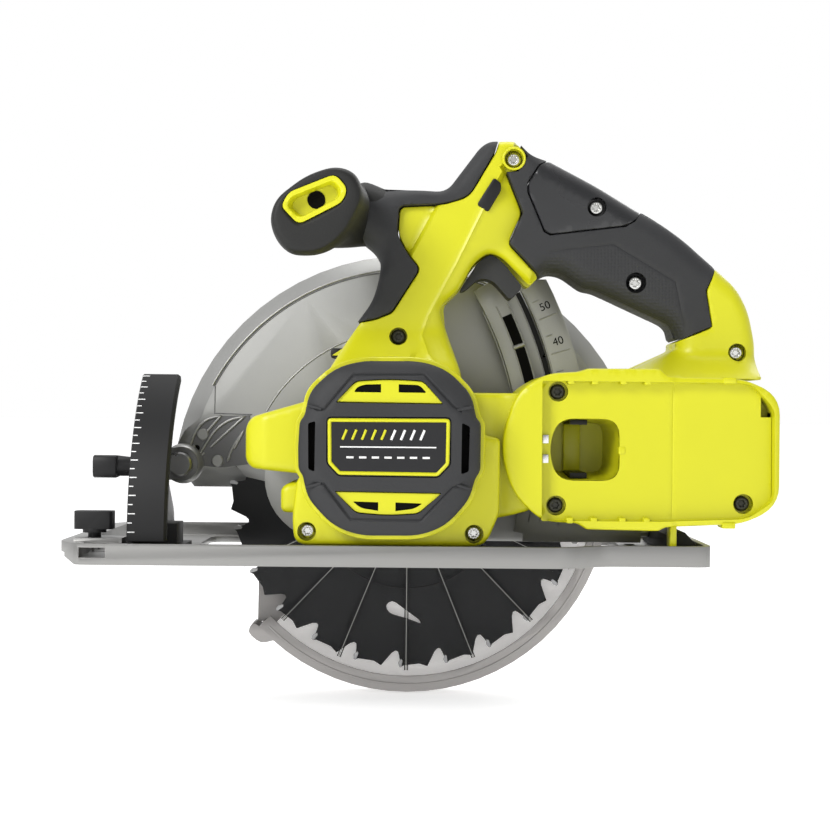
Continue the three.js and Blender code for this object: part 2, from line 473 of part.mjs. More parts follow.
function frontGripInsert() {
  const ring = [[-56.5, 160.2, 2], [-53.5, 166.4, 3], [-32.7, 174.8, 3], [-27, 168.4, 3], [-29.3, 162.4, 3], [-48.9, 152.2, 3]];
  const bowl = [[-54, 160.4, 2], [-52, 164.4, 2], [-33.6, 171.9, 2], [-29.8, 167.8, 2], [-31.3, 164, 2], [-48.4, 155, 3]];
  return cut(slab(outline(ring), -74.4, CAP_Y + 0.4), slab(outline(bowl), -77, CAP_Y - 1),
    atXZ(rodY(3.2, -80, -70, 20), -41.3, 164.4));
}
const GRIP = [
  [52, 199, 2], [56, 193.6, 3], [61.5, 191, 3], [66, 190.2, 1], [61.1, 187.7], [55.8, 178.9], [55.8, 174.2], [63.7, 155.6],
  [66.6, 154], [102.5, 158.4], [107, 161], [110.2, 166, 1], [118.7, 161.4, 6], [131.8, 152.3, 8], [145.4, 139.6, 1],
  [140.5, 128.2], [143.4, 111.4], [126.8, 104.6, 2], [124.6, 112, 5], [108.2, 119.5, 6], [88.6, 128.4, 5], [83.4, 129.1, 3],
  [78.8, 132.3, 3], [73.4, 136.2, 4], [66.8, 137.2, 3], [62.3, 134.9, 1], [47.5, 150.2], [53.8, 164.8], [46, 183.7],
  [51.2, 184.2], [55.8, 191.4]];
const TOP_CAP = [
  [61.6, 187.3, 2], [66.4, 190, 3], [89.3, 178.4, 6], [109.9, 165.9, 2], [106.6, 161.4, 2], [102.3, 158.8, 2], [66.8, 154.4, 3],
  [64.1, 156, 2], [56.2, 174.4, 2], [56.2, 178.8, 3]];
const gripHalf = (far, near) =>
  cut(slab(outline(GRIP), far, near), slab(outline(grown(TRUNK, GAP)), 5, -40),
    slab(outline(grown(REAR_YELLOW, GAP)), 5, -40), ...screwSeats());
const topCap = () => cut(slab(outline(TOP_CAP), HANDLE_Y + HANDLE_HALF, HANDLE_Y - HANDLE_HALF), ...screwSeats());

const CAP_OUTLINE = [
  [-48.4, 54, 2], [-47.8, 65, 2], [-45.6, 68, 1], [-43.4, 78.7, 5], [-33, 88.6, 8], [-21.5, 92.3, 8], [6.3, 92.5, 8],
  [18, 88.5, 8], [28.6, 77.8, 5], [30.8, 67.5, 1], [32.9, 65, 2], [32.8, 43.8, 2], [30.6, 40.5, 1], [27.9, 31, 5],
  [18, 19.6, 8], [6.3, 14.8, 8], [-20.9, 14.6, 8], [-32.8, 19, 8], [-43.9, 31, 5], [-46.2, 41, 1], [-48.2, 44, 2]];
const VENTS = [
  [[-31.6, 74, 1], [-22.7, 83.4, 2], [6.9, 83.6, 2], [16, 73.6, 1]],
  [[-31.8, 34.4, 1], [15.7, 33.9, 1], [5.3, 24.9, 2], [-22.2, 25.2, 2]]];
const SIDE_VENTS = [
  [[-43.8, 64.5, 1], [-40.5, 65.5, 1], [-40.7, 43, 1], [-43.5, 44.1, 1]],
  [[24.3, 65.2, 1], [27.9, 63.6, 1], [27.5, 43.6, 1], [24.1, 42.4, 1]]];
const BADGE = [
  [-35.5, 67.2, 3], [19.5, 67.4, 3], [19.3, 46.6, 3], [14.1, 41.1, 3], [-30.2, 41.4, 3], [-35.2, 46.8, 3]];
const vent = (corners, far, near) => slab(outline(corners), far, near);
function endCap() {
  const shell = motorCircle(39.5, -78, -68.3, 48);
  const pads = VENTS.map((corners) => vent(corners, -75, CAP_Y + 2));
  const slits = [76.3, 28.3].flatMap((z) => [box(-22, -10.8, -90, -74, z, z + 4), box(-5.2, 5.8, -90, -74, z, z + 4)]);
  return cut(join(cut(shell, motorCircle(32, -75, -60, 40), motorCircle(10, -80, -60, 24)), ...pads,
    cut(motorCircle(14, -78, -70, 24), motorCircle(9.4, -80, -60, 24))), ...slits, ...SIDE_VENTS.map((v) => vent(v, -60, -90)));
}
function endCapBumper() {
  const ring = slab(outline(CAP_OUTLINE), -78.3, CAP_Y);
  const skirt = cut(slab(outline(CAP_OUTLINE), -68.3, -79), motorCircle(39.9, -80, -60, 48));
  return cut(join(ring, skirt), ...VENTS.map((v) => vent(grown(v, GAP), -60, -90)), ...SIDE_VENTS.map((v) => vent(v, -60, -90)),
    slab(outline(grown(BADGE, GAP)), CAP_Y + 2, CAP_Y - 2));
}
// Two contact carriers on the well's upper and lower walls, joined across its floor.
const terminalBlock = () => join(box(76, 84, -12, -8 - GAP, 39.6, 66.9), box(76, 84, -44, -8 - GAP, 64.6, 66.9),
  box(76, 84, -44, -8 - GAP, 39.6, 42.2));
const badgePlate = () => slab(outline(BADGE), CAP_Y + 1.7, CAP_Y - 0.6);

function trigger() {
  return slab(outline([[39.5, 146, 2], [33.5, 142.6, 4], [24.2, 128, 2], [27, 128.6, 3], [33.5, 134.4, 6], [40, 133.4, 5], [45, 128, 4],
    [48.5, 123.8, 2], [54.6, 130, 2], [45.5, 141.5, 4]]).clone(), HANDLE_Y + 7.5, HANDLE_Y - 7.5, 3);
}
const LOCK_OFF = [[39.8, 181, 1], [43.1, 178.4, 1], [43.2, 174.8, 1], [37.2, 164.5, 1], [31.8, 168, 1]];
const lockOffWell = () => slab(outline([[40, 181.6], [43.6, 178.6], [43.7, 174.6], [37.3, 163.9], [31.1, 168]]), 5, -40);
const lockOff = () => slab(outline(LOCK_OFF), HANDLE_Y + HANDLE_HALF + 0.8, HANDLE_Y - HANDLE_HALF - 0.8, 2);
const trigger_relief = () => slab(outline([[20, 120], [50, 118], [60, 130], [60, 138], [50, 144.5], [39.5, 147.6], [32, 144.6], [22.5, 128.5]]),
  HANDLE_Y + 8.5, HANDLE_Y - 8.5);

const depthLever = () =>
  cut(join(ringY(3.6, 8, 2.5, 7.5, 24), slab(outline([[-6, 0, 2], [-4, 30, 3], [4, 36, 3], [9, 30, 3], [6, 0, 2]]), 6.5, 3)),
    rodY(3.6, 0, 10, 24));
const depthBolt = () => join(rodY(3.3, 2.5, 22, 16), rodY(6, 20.3, 23.5, 6));


// ---------------------------------------------------------------- assembly
const saw = new THREE.Group();
saw.add(
  node("sole_plate", solePlate(), CAST),
  node("bevel_quadrant", bevelQuadrant(), BLACK),
  node("rear_hinge_bracket", rearHingeBracket(), BLACK),
  node("fence_thumb_screw", fenceScrew(), BLACK),
  node("front_bevel_pin", rodX(2.5, -127.2, -117, BEVEL.y, BEVEL.z), STEEL),
  node("rear_bevel_pin", rodX(2.5, 110, 136, BEVEL.y, BEVEL.z), STEEL),
  node("front_bracket", frontBracket(), CAST),
  node("depth_arm", depthArm(), CAST),
  node("bevel_clamp_plate", bevelClampPlate(), STEEL),
  node("bevel_lock_knob", bevelKnob(), BLACK),
  node("upper_guard", upperGuard(), CAST),
  node("gear_case", gearCase(), CAST));

saw.add(group(PIVOT.x, PIVOT.z,
  node("depth_pivot_pin", join(rodY(4, 6.5, 47, 20), rodY(5.5, 4, 7.6, 6)), STEEL)));
saw.add(group(PIVOT.x + DEPTH_BOLT_R, PIVOT.z,
  node("depth_lock_bolt", depthBolt(), STEEL),
  node("depth_lock_lever", depthLever(), BLACK)));

saw.add(group(0, ARBOR_Z,
  node("lower_guard", lowerGuard(), SILVER),
  node("guard_window", guardWindow(), CLEAR),
  node("guard_lever", guardLever(), BLACK),
  node("guard_spring", ringY(20.7, 21.9, 20.6, 21.6, 28), STEEL),
  node("saw_blade", sawBlade(), BLADE_COAT),
  node("spindle", spindle(), STEEL),
  node("output_gear", gear(GEAR_TEETH, 5.1, 2.5, 10.5), STEEL),
  node("inner_flange", innerFlange(), STEEL),
  node("outer_flange", outerFlange(), STEEL),
  node("blade_bolt", bladeBolt(), STEEL),
  node("spindle_lock_button", lockButton(), BLACK),
  node("spindle_inner_bearing", bearing(5.1, 8, -3.7, 1.2), STEEL),
  node("spindle_outer_bearing", bearing(6.1, 12, 19.8, 26.6), STEEL)));

saw.add(group(MOTOR_X, MOTOR_Z,
  node("rotor_shaft", rotorShaft(), STEEL),
  node("rotor_core", rotorCore(), STEEL),
  node("cooling_fan", fan(), BLACK),
  node("stator", stator(), COPPER),
  node("motor_front_bearing", bearing(4.1, 9, -5.4, -0.8), STEEL),
  node("motor_rear_bearing", bearing(4.1, 9, -76, -71.5), STEEL)));

const far = rightHousing();
saw.add(
  node("left_housing", cut(leftHousing(), trigger_relief()), LIME),
  node("right_housing", cut(far.shell, trigger_relief()), LIME),
  node("rear_housing_cover", far.rear, LIME),
  node("end_cap", endCap(), LIME),
  node("end_cap_bumper", endCapBumper(), RUBBER),
  node("badge_plate", badgePlate(), GLOSS),
  node("front_grip", frontGrip(), RUBBER),
  node("front_grip_insert", frontGripInsert(), LIME),
  node("handle_grip_left", gripHalf(HANDLE_Y - GAP / 2, HANDLE_Y - HANDLE_HALF), RUBBER),
  node("handle_grip_right", gripHalf(HANDLE_Y + HANDLE_HALF, HANDLE_Y + GAP / 2), RUBBER),
  node("handle_top_cap", topCap(), GLOSS),
  node("trigger", trigger(), RUBBER),
  node("lock_off_button", lockOff(), BLACK),
  node("trigger_switch", box(5 + GAP, 28 - GAP, -29 + GAP, -7 - GAP, 145 + GAP, 163.5 - GAP), BLACK),
  node("control_board", box(104 + GAP, 160 - GAP, -30, -27, 26 + 3.5, 80 - 3.5), BOARD),
  node("terminal_block", terminalBlock(), BLACK));


for (const [name, [x, z, y]] of Object.entries(SCREW_SPOTS)) {
  const mesh = node(name, screw(), STEEL);
  mesh.position.set(x, y, z);
  saw.add(mesh);
}

export default saw;
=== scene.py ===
# The look of a cordless circular saw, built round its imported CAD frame. All sizes below are millimetres.
import json
import math
import bmesh
import bpy
import numpy as np
from mathutils import Matrix, Vector
from mathutils.geometry import delaunay_2d_cdt


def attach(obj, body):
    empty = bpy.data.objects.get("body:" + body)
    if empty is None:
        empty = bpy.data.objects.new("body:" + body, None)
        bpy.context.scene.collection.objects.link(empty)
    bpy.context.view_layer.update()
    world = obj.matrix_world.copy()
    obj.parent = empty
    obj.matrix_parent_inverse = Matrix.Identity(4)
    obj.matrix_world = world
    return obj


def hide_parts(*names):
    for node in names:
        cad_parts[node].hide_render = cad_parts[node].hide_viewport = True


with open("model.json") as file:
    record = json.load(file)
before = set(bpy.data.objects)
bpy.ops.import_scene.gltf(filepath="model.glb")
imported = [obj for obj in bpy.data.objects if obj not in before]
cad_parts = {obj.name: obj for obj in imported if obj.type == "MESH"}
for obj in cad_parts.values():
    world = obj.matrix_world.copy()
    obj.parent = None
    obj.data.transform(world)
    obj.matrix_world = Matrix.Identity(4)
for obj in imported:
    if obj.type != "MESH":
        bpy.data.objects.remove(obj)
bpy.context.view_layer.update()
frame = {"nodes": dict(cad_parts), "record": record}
MM = 0.001
FLOOR = -74.2   # height of the stage
SHARP = math.radians(32)    # edges bent by more than this get rounded
WHITE = (1, 1, 1, 1)
SCENE = bpy.context.scene

# Places shared with the CAD model.
BLADE_Z = 30
HUB = (0, BLADE_Z)
TEETH = 24
MOTOR = (-7.6, 53.29)
PIVOT = (-113.5, 43)
BEVEL = (33, 9)
FACE = -36      # near face of the handle
SPLIT = -18     # where its halves meet
MID = SPLIT     # middle of the front bar
BACK = 0        # far face of the handle
DECK = -62      # near face of the battery frame
CAP = -84       # near face of the motor's end cap
NEAR_HALF = ["left_housing"]    # the CAD node that most lime pieces stand in for


# ---------------------------------------------------------------- camera, light, stage
def camera():
    data = bpy.data.cameras.new("camera")
    data.sensor_width = 36
    data.lens = 67.14
    data.clip_start = 0.05
    data.clip_end = 100
    cam = bpy.data.objects.new("camera", data)
    SCENE.collection.objects.link(cam)
    turn = Matrix.Rotation(math.radians(90), 4, "X") @ Matrix.Rotation(math.radians(0.5), 4, "Z")
    cam.matrix_world = Matrix.Translation(Vector((3.5, -767, 68.5)) * MM) @ turn
    SCENE.camera = cam


def area_light(name, place, target, size, power):
    data = bpy.data.lights.new(name, "AREA")
    data.shape = "RECTANGLE"
    data.size, data.size_y = size[0] * MM, size[1] * MM
    data.energy = power
    lamp = bpy.data.objects.new(name, data)
    SCENE.collection.objects.link(lamp)
    way = (Vector(target) - Vector(place)).to_track_quat("-Z", "Y")
    lamp.matrix_world = Matrix.Translation(Vector(place) * MM) @ way.to_matrix().to_4x4()


def make_node(tree, kind, inputs=(), **values):
    """A shader node. Its inputs take a value, or an output socket to link from."""
    made = tree.nodes.new(kind)
    for key, value in values.items():
        setattr(made, key, value)
    for key, value in dict(inputs).items():
        if isinstance(value, bpy.types.NodeSocket):
            tree.links.new(value, made.inputs[key])
        else:
            made.inputs[key].default_value = value
    return made


def shader_of(mat, **values):
    """The material's Principled inputs, after setting those named with underscores for spaces."""
    inputs = mat.node_tree.nodes["Principled BSDF"].inputs
    for key, value in values.items():
        inputs[key.replace("_", " ")].default_value = value
    return inputs


def studio():
    world = bpy.data.worlds.new("studio")
    SCENE.world = world
    world.use_nodes = True
    tree = world.node_tree
    tree.nodes.clear()
    place = make_node(tree, "ShaderNodeTexCoord")
    split = make_node(tree, "ShaderNodeSeparateXYZ", {0: place.outputs["Generated"]})
    # Brighter behind the saw than in front of it.
    level = make_node(tree, "ShaderNodeMapRange", {
        "Value": split.outputs["Y"], "From Min": -0.6, "From Max": 0.6, "To Min": 0.26, "To Max": 1.0})
    # A bright horizon all round, so the backdrop is as pale from every side.
    height = make_node(tree, "ShaderNodeMath", {0: split.outputs["Z"]}, operation="ABSOLUTE")
    band = make_node(tree, "ShaderNodeMapRange", {
        "Value": height.outputs[0], "From Min": 0.06, "From Max": 0.3, "To Min": 1.0, "To Max": 0.3})
    brightest = make_node(tree, "ShaderNodeMath", {0: level.outputs[0], 1: band.outputs[0]}, operation="MAXIMUM")
    sky = make_node(tree, "ShaderNodeBackground", {0: WHITE, 1: brightest.outputs[0]})
    make_node(tree, "ShaderNodeOutputWorld", {0: sky.outputs[0]})
    area_light("key", (-650, -800, 650), (0, 0, 70), (420, 420), 9.5)
    area_light("front_fill", (500, -1000, 180), (20, 0, 60), (600, 600), 0.5)
    area_light("top", (60, 100, 900), (10, 0, 80), (500, 300), 2.6)
    area_light("rim_back", (400, 700, 500), (0, 0, 60), (500, 400), 1.2)
    SCENE.view_settings.view_transform = "Standard"
    SCENE.view_settings.look = "None"
    bpy.ops.mesh.primitive_plane_add(size=60, location=(0, 0, FLOOR * MM))
    floor = bpy.context.object
    floor.name = "floor"
    pale = simple_material("floor_white", (0.9, 0.9, 0.9), 0.75, bump=0.0, vary=0.01)
    shader_of(pale, Emission_Color=WHITE, Emission_Strength=0.5)
    floor.data.materials.append(pale)


# ---------------------------------------------------------------- materials
def simple_material(name, color, rough, metal=0.0, bump=0.03, grain=900, vary=0.06, vary_scale=30,
                    rough_vary=0.06, coat=0.0, stretch=(1, 1, 1), spec=0.5, aniso=0.0, pattern=None):
    """Principled surface with fine grain, slow colour drift and uneven roughness."""
    mat = bpy.data.materials.new(name)
    mat.use_nodes = True
    tree = mat.node_tree
    shader = shader_of(mat, Metallic=metal, Specular_IOR_Level=spec, Coat_Weight=coat, Coat_Roughness=0.12,
                       Anisotropic=aniso)
    place = make_node(tree, "ShaderNodeTexCoord").outputs["Object"]
    scale = make_node(tree, "ShaderNodeMapping", {"Vector": place, "Scale": stretch}).outputs[0]
    drift = make_node(tree, "ShaderNodeTexNoise", {"Vector": scale, "Scale": vary_scale, "Detail": 4}).outputs["Fac"]
    mixer = make_node(tree, "ShaderNodeMix", data_type="RGBA")
    mixer.inputs["A"].default_value = (*[c * (1 - vary) for c in color], 1)
    mixer.inputs["B"].default_value = (*[min(1, c * (1 + vary)) for c in color], 1)
    tree.links.new(drift, mixer.inputs["Factor"])
    tree.links.new(mixer.outputs["Result"], shader["Base Color"])
    rough_map = make_node(tree, "ShaderNodeMapRange", {
        "Value": drift, "To Min": max(0.02, rough - rough_vary), "To Max": min(1, rough + rough_vary)})
    tree.links.new(rough_map.outputs[0], shader["Roughness"])
    if bump:
        fine = make_node(tree, "ShaderNodeTexNoise", {"Vector": scale, "Scale": grain, "Detail": 3})
        lift = make_node(tree, "ShaderNodeBump", {
            "Strength": min(1, bump * 8), "Distance": bump * MM * 2, "Height": fine.outputs["Fac"]}).outputs[0]
        tree.links.new(pattern(tree, place, lift) if pattern else lift, shader["Normal"])
    return mat


def dimples(tree, place, lift):
    """Diamond dimples where the mesh's grip attribute says so."""
    spots = make_node(tree, "ShaderNodeTexVoronoi", {"Vector": place, "Scale": 620, "Randomness": 0.12},
                 distance="EUCLIDEAN")
    here = make_node(tree, "ShaderNodeAttribute", attribute_name="grip")
    depth = make_node(tree, "ShaderNodeMath", {0: spots.outputs["Distance"], 1: here.outputs["Fac"]},
                 operation="MULTIPLY")
    return make_node(tree, "ShaderNodeBump", {
        "Strength": 0.75, "Distance": 0.5 * MM, "Height": depth.outputs[0], "Normal": lift}, invert=True).outputs[0]


# key: (slot, material name, colour, roughness, other settings)
SURFACES = {
    "lime": ("lime_nylon", "lime_plastic", (0.585, 0.575, 0.006), 0.38,
             dict(bump=0.012, grain=1500, vary=0.03, spec=0.45)),
    "rubber": ("grip_rubber", "grip_rubber", (0.023, 0.0235, 0.025), 0.64,
               dict(bump=0.06, grain=1100, vary=0.22, spec=0.42, pattern=dimples)),
    "horn": ("grip_rubber", "horn_rubber", (0.0075, 0.0076, 0.0068), 0.6,
             dict(bump=0.06, grain=1100, vary=0.22, spec=0.4)),
    "gloss": ("gloss_black", "gloss_black", (0.019, 0.0195, 0.021), 0.28, dict(bump=0.006, vary=0.05, coat=0.15)),
    "badge": ("gloss_black", "badge_field", (0.012, 0.012, 0.0135), 0.45,
              dict(spec=0.3, bump=0.004, grain=700, vary=0.05)),
    "black": ("black_nylon", "black_nylon", (0.008, 0.008, 0.0085), 0.5,
              dict(spec=0.3, bump=0.02, grain=1200, vary=0.12)),
    "cast": ("cast_alloy", "cast_alloy", (0.36, 0.36, 0.35), 0.46,
             dict(metal=0.75, bump=0.05, grain=1600, vary=0.07)),
    "casting_dark": ("cast_alloy", "cast_grey", (0.16, 0.16, 0.165), 0.5,
                     dict(metal=0.6, bump=0.05, grain=1200, vary=0.1)),
    "sole": ("sole_alloy", "sole_alloy", (0.27, 0.268, 0.26), 0.38,
             dict(metal=0.85, bump=0.02, grain=600, stretch=(0.06, 1, 1), vary=0.08, vary_scale=200, aniso=0.3)),
    "arm": ("painted_dark_steel", "arm_steel", (0.36, 0.36, 0.34), 0.45, dict(metal=0.7, bump=0.04, vary=0.12)),
    "zinc": ("plated_steel", "zinc_steel", (0.66, 0.66, 0.66), 0.24,
             dict(metal=1.0, bump=0.008, grain=700, vary=0.08)),
    "steel": ("machined_steel", "machined_steel", (0.42, 0.42, 0.42), 0.28,
              dict(metal=1.0, bump=0.012, grain=500, vary=0.08)),
    "blade": ("blade_coating", "blade_coating", (0.011, 0.0112, 0.012), 0.3,
              dict(spec=0.2, bump=0.008, grain=500, vary=0.15)),
    "carbide": ("machined_steel", "carbide", (0.30, 0.30, 0.30), 0.3, dict(metal=0.9, bump=0.01, vary=0.1)),
    "lower": ("guard_alloy", "lower_guard_alloy", (0.36, 0.345, 0.336), 0.4, dict(metal=0.5, bump=0.02, vary=0.04)),
    # Pale lining of the lower guard; below it also gets a faint emission, a painted glow.
    "pale": ("guard_alloy", "lining_painted_glow", (0.93, 0.915, 0.90), 0.6, dict(bump=0.01, vary=0.03)),
    "copper": ("copper_winding", "copper_winding", (0.55, 0.22, 0.07), 0.35,
               dict(metal=0.9, bump=0.1, grain=500, vary=0.15)),
    "board": ("circuit_board", "circuit_board", (0.02, 0.16, 0.06), 0.4, dict(bump=0.02, grain=700, vary=0.15)),
    # Flat black: painted shade in vents, slots, grooves and holes, and the ink of the depth numerals.
    "dark": ("black_nylon", "painted_shade_and_print", (0.003, 0.003, 0.0027), 0.8,
             dict(spec=0.08, bump=0.01, grain=700, vary=0.2)),
    "white": ("black_nylon", "white_ink", (0.82, 0.82, 0.82), 0.4, dict(bump=0.004, grain=700, vary=0.02)),
    "screw": ("plated_steel", "screw_steel", (0.60, 0.60, 0.58), 0.22,
              dict(metal=1.0, bump=0.01, grain=800, vary=0.1)),
    "screw_dark": ("plated_steel", "blackened_screw", (0.05, 0.05, 0.04), 0.4,
                   dict(metal=0.7, bump=0.01, grain=800, vary=0.2)),
    "clear": ("clear_plastic", "clear_window", (0.93, 0.95, 0.96), 0.06,
              dict(bump=0.004, grain=300, vary=0.01, rough_vary=0.02))}
MATERIALS = {}


def materials():
    for key, (_, name, color, rough, settings) in SURFACES.items():
        MATERIALS[key] = simple_material(name, color, rough, **settings)
    # Painted glow: the lining gives off light of its own, standing in for light seen through the lower guard.
    shader_of(MATERIALS["pale"], Emission_Color=(1.0, 0.975, 0.955, 1), Emission_Strength=0.3)
    shader_of(MATERIALS["clear"], Transmission_Weight=1.0, IOR=1.08, Alpha=0.08, Specular_IOR_Level=0.2)


# ---------------------------------------------------------------- mesh helpers
def add_piece(name, mesh, material, body="saw_body", smooth_angle=35, replaces=()):
    mesh.materials.clear()
    mesh.materials.append(MATERIALS[material])
    piece = bpy.data.objects.new(name, mesh)
    SCENE.collection.objects.link(piece)
    smooth(mesh, smooth_angle)
    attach(piece, body)
    for node in replaces:
        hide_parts(node)
    return piece


def smooth(mesh, angle):
    """Smooth shading that breaks at edges sharper than angle, in degrees."""
    bm = bmesh.new()
    bm.from_mesh(mesh)
    limit = math.radians(angle)
    for face in bm.faces:
        face.smooth = True
    for edge in bm.edges:
        edge.smooth = len(edge.link_faces) == 2 and edge.calc_face_angle(0) < limit
    bm.to_mesh(mesh)
    bm.free()


def mesh_from(name, verts, faces):
    mesh = bpy.data.meshes.new(name)
    mesh.from_pydata([tuple(float(c) * MM for c in v) for v in verts], [], [tuple(f) for f in faces])
    mesh.validate()
    bm = bmesh.new()
    bm.from_mesh(mesh)
    bmesh.ops.remove_doubles(bm, verts=bm.verts, dist=1e-6)
    bmesh.ops.recalc_face_normals(bm, faces=bm.faces)
    bm.to_mesh(mesh)
    bm.free()
    return mesh


def bevel_mesh(mesh, width, segments):
    """Rounds the sharp edges of a mesh after merging its flat triangles."""
    bm = bmesh.new()
    bm.from_mesh(mesh)
    bmesh.ops.remove_doubles(bm, verts=bm.verts, dist=2e-6)
    bmesh.ops.dissolve_limit(bm, angle_limit=math.radians(1.5), verts=bm.verts, edges=bm.edges)
    sharp = [e for e in bm.edges if len(e.link_faces) == 2 and e.calc_face_angle(0) > SHARP]
    bmesh.ops.bevel(bm, geom=sharp, offset=width * MM, offset_type="OFFSET", segments=segments,
                    profile=0.5, affect="EDGES", clamp_overlap=True)
    bm.to_mesh(mesh)
    bm.free()


def refine(node, material, width, segments=2):
    """A new piece with the CAD node's shape and softened edges, in place of the node."""
    mesh = frame["nodes"][node].data.copy()
    bevel_mesh(mesh, width, segments)
    add_piece(node + "_look", mesh, material, body_of(node), replaces=[node])


def body_of(node):
    for body, members in frame["record"]["behaviour"]["bodies"].items():
        if node in members:
            return body
    return None


def outline(corners, step=2.0, segments=5):
    """Closed polyline through corners (u, v[, fillet]), with no edge longer than step."""
    pts = []
    n = len(corners)
    for i, c in enumerate(corners):
        here = np.array(c[:2], float)
        into = np.array(corners[i - 1][:2], float) - here
        away = np.array(corners[(i + 1) % n][:2], float) - here
        li, la = np.linalg.norm(into), np.linalg.norm(away)
        reach = min(c[2] if len(c) > 2 else 0, li * 0.49, la * 0.49)
        if reach > 0.05:
            s, e = here + into / li * reach, here + away / la * reach
            for k in range(segments + 1):
                w = k / segments
                pts.append((1 - w) ** 2 * s + 2 * w * (1 - w) * here + w * w * e)
        else:
            pts.append(here)
    dense = []
    for i, p in enumerate(pts):
        q = pts[(i + 1) % len(pts)]
        parts = max(1, int(math.ceil(np.linalg.norm(q - p) / step)))
        for k in range(parts):
            dense.append(p + (q - p) * k / parts)
    keep = [p for i, p in enumerate(dense) if np.linalg.norm(p - dense[i - 1]) > 0.02]
    return np.array(keep)


def polar(centre, r, angle):
    turn = math.radians(angle)
    return centre[0] + r * math.cos(turn), centre[1] + r * math.sin(turn)


def arc(centre, r, a0, a1, step=2.0):
    count = max(2, int(abs(math.radians(a1 - a0)) * r / step) + 1)
    return [polar(centre, r, a) for a in np.linspace(a0, a1, count)]


def at(y, points):
    return [(x, y, z) for x, z in points]


def line_distance(points, line, closed=True):
    """Distance from each point to a polyline."""
    a = np.asarray(line, float)
    b = np.roll(a, -1, axis=0) if closed else a[1:]
    a = a if closed else a[:-1]
    d = b - a
    length = np.maximum((d * d).sum(1), 1e-9)
    best = np.full(len(points), 1e9)
    for i in range(len(a)):
        t = np.clip(((points - a[i]) @ d[i]) / length[i], 0, 1)
        gap = points - (a[i] + t[:, None] * d[i])
        best = np.minimum(best, np.sqrt((gap * gap).sum(1)))
    return best


def inside(points, loop):
    x, y = points[:, 0], points[:, 1]
    hit = np.zeros(len(points), bool)
    for (x0, y0), (x1, y1) in zip(loop, np.roll(loop, -1, axis=0)):
        cross = (y0 > y) != (y1 > y)
        with np.errstate(divide="ignore", invalid="ignore"):
            hit ^= cross & (x < (x1 - x0) * (y - y0) / (y1 - y0 + 1e-12) + x0)
    return hit


def rounding(d, r):
    """Depth below the face of a quarter-round edge of radius r, at distance d from the edge."""
    return r - np.sqrt(np.maximum(0, r * r - (r - np.clip(d, 0, r)) ** 2))


def sideways(way):
    """Unit vectors square to those in way."""
    way = way / np.maximum(np.linalg.norm(way, axis=1), 1e-9)[:, None]
    return np.stack([-way[:, 1], way[:, 0]], 1)


def offset_points(loop, distance):
    """Points moved sideways from a closed loop by distance, inwards if it runs anticlockwise."""
    ahead = np.roll(loop, -1, axis=0)
    area = np.sum(loop[:, 0] * ahead[:, 1] - ahead[:, 0] * loop[:, 1])
    return loop + sideways(ahead - np.roll(loop, 1, axis=0)) * distance * np.sign(area)


